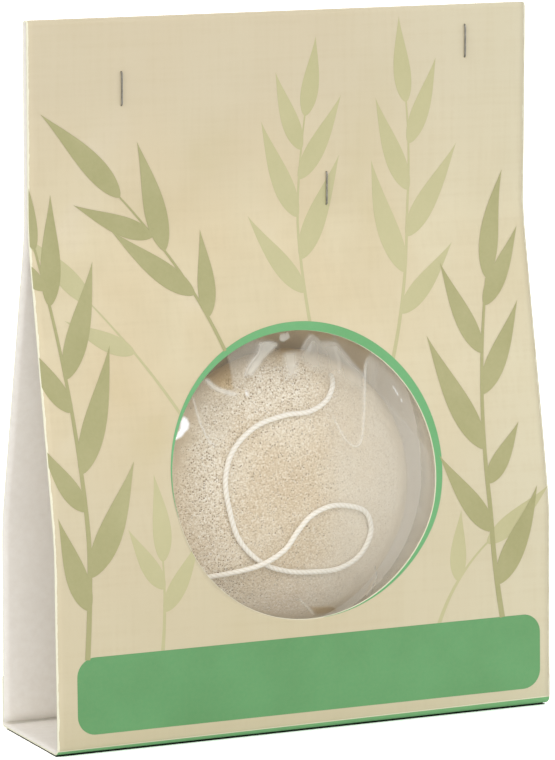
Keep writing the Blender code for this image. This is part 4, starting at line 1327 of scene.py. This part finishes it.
def filmMaterial():
    # cast polypropylene film: clear, glossy and thin; slack areas go milky, and clear places over
    # the hollow mouth of the bag are tinted warm and dark, painted shade over what lies behind them
    made, node = newMaterial("cast clear film")
    milky, shade, glint = (
        node("Attribute", attribute_name=name).outputs["Fac"]
        for name in ("milky", "shade", "glint")
    )
    place = node("TexCoord").outputs["Object"]
    long = node("Mapping", {"Vector": place, "Scale": (1, 1, 0.25)})
    streak = node("TexNoise", (long, 160, 3, 0.6))
    uneven = node("Math", (streak, 0.6, 0.7), operation="MULTIPLY_ADD")
    cloud = node("Math", (milky, uneven), operation="MULTIPLY", use_clamp=True)
    bump = node("Bump", {"Height": streak, "Strength": 0.12, "Distance": 0.0004})
    # painted shade: by the shade attribute the clear film's tint darkens and warms what is seen
    # through it
    paintedShadeTints = (shade, (0.985, 0.972, 0.945, 1), (0.80, 0.66, 0.40, 1))
    through = node("Mix", paintedShadeTints, data_type="RGBA")
    clear = node("BsdfTransparent", (through,))
    sockets = {"Base Color": "EBE8DD", "Roughness": 0.6, "Specular IOR Level": 0.2}
    veil = node("BsdfPrincipled", sockets)
    sockets = {"Color": (1, 1, 1, 1), "Roughness": 0.20, "Normal": bump}
    gloss = node("BsdfGlossy", sockets)
    # the sheet mirrors 3% straight on and more along its edges, by the fifth power of the turn away
    facing = node("LayerWeight", (0.5, bump)).outputs["Facing"]
    glancing = node("Math", (facing, 5.0), operation="POWER")
    sheen = node("Math", (glancing, 0.45, 0.03), operation="MULTIPLY_ADD")
    # the glint attribute raises the mirror share at listed spots: painted highlights
    shine = node("Math", (sheen, glint), operation="MAXIMUM")
    veiled = node("MixShader", (cloud, clear, veil))
    shiny = node("MixShader", (shine, veiled, gloss))
    node("OutputMaterial", (shiny,))
    return made


def makeBag():
    # rings of front sheet, right edge, back sheet and left edge at each level, closed at foot and
    # mouth; folds, pleats and slack fade out toward the edges, the foot and the header
    height = bagLevels()
    x, frontY, _, shape = bagSheets(height, bag["columns"])
    backX, _, backY, _ = bagSheets(height, bag["backColumns"])
    z = np.broadcast_to(height[:, None], x.shape)
    backZ = np.broadcast_to(height[:, None], backX.shape)

    def room(sideways, upward):
        inside = (shape["half"] - np.abs(sideways - shape["centre"])) / bag["edgeFade"]
        below = smoothStep(card["throat"] - upward, *bag["headFade"])
        return np.clip(inside, 0, 1) * below * smoothStep(upward, *bag["footFade"])

    rise, crest = foldsOn(x, z)
    frontY = frontY - (crumple(x, z, bag["frontSeed"]) + rise) * room(x, z)
    nearest = bag["headerClearance"] + 4 * (card["throat"] - z).clip(0)
    frontY = np.maximum(frontY, frontInnerY(z) + np.minimum(bag["closest"], nearest))
    crumpled = np.abs(crumple(backX, backZ, bag["backSeed"]))
    backY = backY - crumpled * room(backX, backZ) * bag["backCrumple"]
    front = np.stack([x, frontY, z], axis=-1)
    back = np.stack([backX, backY, backZ], axis=-1)[:, ::-1]
    # each side edge is a narrow strip of two points, 30 degrees either way on a half round
    turns = np.array([-math.pi / 6, math.pi / 6])
    edge, level = shape["edge"], np.broadcast_to(height[:, None], (len(height), 2))
    outward = shape["half"] - edge + edge * np.cos(turns)
    edgeY = shape["seam"] + edge * np.sin(turns)
    right = np.stack([shape["centre"] + outward, edgeY, level], axis=-1)
    left = np.stack([shape["centre"] - outward, edgeY, level], axis=-1)[:, ::-1]
    rings = np.concatenate([front, right, back, left], axis=1)
    rows, columns = rings.shape[:2]
    milky, shade, glint = filmTones(rings[..., 0], rings[..., 2])
    ahead = np.arange(columns) < x.shape[1]
    milky[:, ahead] = np.maximum(milky[:, ahead], crest)
    shade[:, ahead] *= 1 - np.clip(crest * bag["crestCover"], 0, 1)
    milky[:, ~ahead] *= bag["backMilk"]
    shade[:, ~ahead] = 0
    glint[:, ~ahead] = 0
    piece = newPiece("filmBag", rings, gridFaces(rows, columns, wrapped=True), [filmMaterial()])
    ring = np.arange(columns)
    closeMesh(piece, [ring[::-1].tolist(), (ring + (rows - 1) * columns).tolist()])
    setTones(piece, {"milky": milky, "shade": shade, "glint": glint})
    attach(piece, "bag")
    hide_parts("film_bag")


makeBag()
print("film bag blown")


# the staples: the CAD wires, in drawn steel


def steelMaterial():
    # galvanised staple wire, dulled: drawn along its length, dark with a few bright rubs
    made, node = newMaterial("galvanised staple wire")
    place = node("TexCoord").outputs["Object"]
    long = node("Mapping", {"Vector": place, "Scale": (1, 1, 0.2)})
    drawn = node("TexNoise", (long, 4000, 3, 0.6))
    tone = node("ValToRGB", (drawn,), ((0.3, "6A6862"), (0.7, "A3A19A")))
    rough = node("MapRange", (drawn, 0.0, 1.0, 0.25, 0.5))
    sockets = {"Base Color": tone, "Metallic": 1.0, "Roughness": rough}
    node("OutputMaterial", (node("BsdfPrincipled", sockets),))
    return made


steel = steelMaterial()
for name in ("staple_left", "staple_middle", "staple_right"):
    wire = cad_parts[name]
    wire.data.materials.clear()
    wire.data.materials.append(steel)
print("staples finished")


# floor, light and backdrop; suns give their power, their size and their turn in degrees

light = {
    "world": 0.42,
    "floor": 0.94,
    "floorSeen": 1.85,
    "floorSize": 12.0,
    "floorDrop": 0.0005,
    "beneath": 0.03,
    "contactX": 0.07475,
    "contactY": 0.0180,
    "suns": {
        "keySun": (1.05, 42, (58, 0, -4)),
        "leftSun": (1.35, 60, (56, 0, -80)),
        "rightSun": (0.28, 60, (62, 0, 78)),
        "backSun": (1.10, 60, (56, 0, 160)),
    },
}


def makeFloor():
    made, node = newMaterial("white studio floor")
    seen = node("LightPath").outputs["Is Camera Ray"]
    # lit, the plain paint already comes to the world's white, so mirror rays see one background
    paint = node("MapRange", (seen, 0.0, 1.0, light["floor"], light["floorSeen"]))
    # dark only beneath the pack, where no light reaches a real table either: the contact line
    place = node("TexCoord").outputs["Object"]
    x, y, _ = node("SeparateXYZ", (place,)).outputs
    sideways = node("Math", (x, 0.0, light["contactX"]), operation="COMPARE")
    lengthways = node("Math", (y, 0.0, light["contactY"]), operation="COMPARE")
    beneath = node("Math", (sideways, lengthways), operation="MULTIPLY")
    darkening = node("MapRange", (beneath, 0.0, 1.0, 1.0, light["beneath"]))
    paint = node("Math", (paint, darkening), operation="MULTIPLY")
    shader = node("BsdfDiffuse", (paint,))
    node("OutputMaterial", (shader,))
    corners = np.array([(-1, -1, 0), (1, -1, 0), (1, 1, 0), (-1, 1, 0)]) * light["floorSize"]
    corners = corners - np.array([0, 0, light["floorDrop"]])
    floor = newPiece("floor", corners, [(0, 1, 2, 3)], [made])


def makeLight():
    # a soft grey sky lights the surfaces, the camera and mirror rays see it white, and suns turned
    # about the pack give the shading
    world = bpy.data.worlds.new("studio")
    bpy.context.scene.world = world
    node = emptyTree(world)
    path = node("LightPath").outputs
    mirrored = (path["Is Glossy Ray"], path["Is Transmission Ray"])
    mirrored = node("Math", mirrored, operation="MAXIMUM")
    seen = node("Math", (path["Is Camera Ray"], mirrored), operation="MAXIMUM")
    white = (1, 1, 1, 1)
    soft, full = (node("Background", (white, strength)) for strength in (light["world"], 1.0))
    node("OutputWorld", (node("MixShader", (seen, soft, full)),))
    for name, (power, size, turn) in light["suns"].items():
        lamp = bpy.data.lights.new(name, "SUN")
        lamp.energy = power
        lamp.angle = math.radians(size)
        sun = bpy.data.objects.new(name, lamp)
        sun.rotation_euler = [math.radians(a) for a in turn]
        bpy.context.scene.collection.objects.link(sun)


makeFloor()
makeLight()
bpy.context.scene.view_settings.view_transform = "Standard"
print("studio lit")
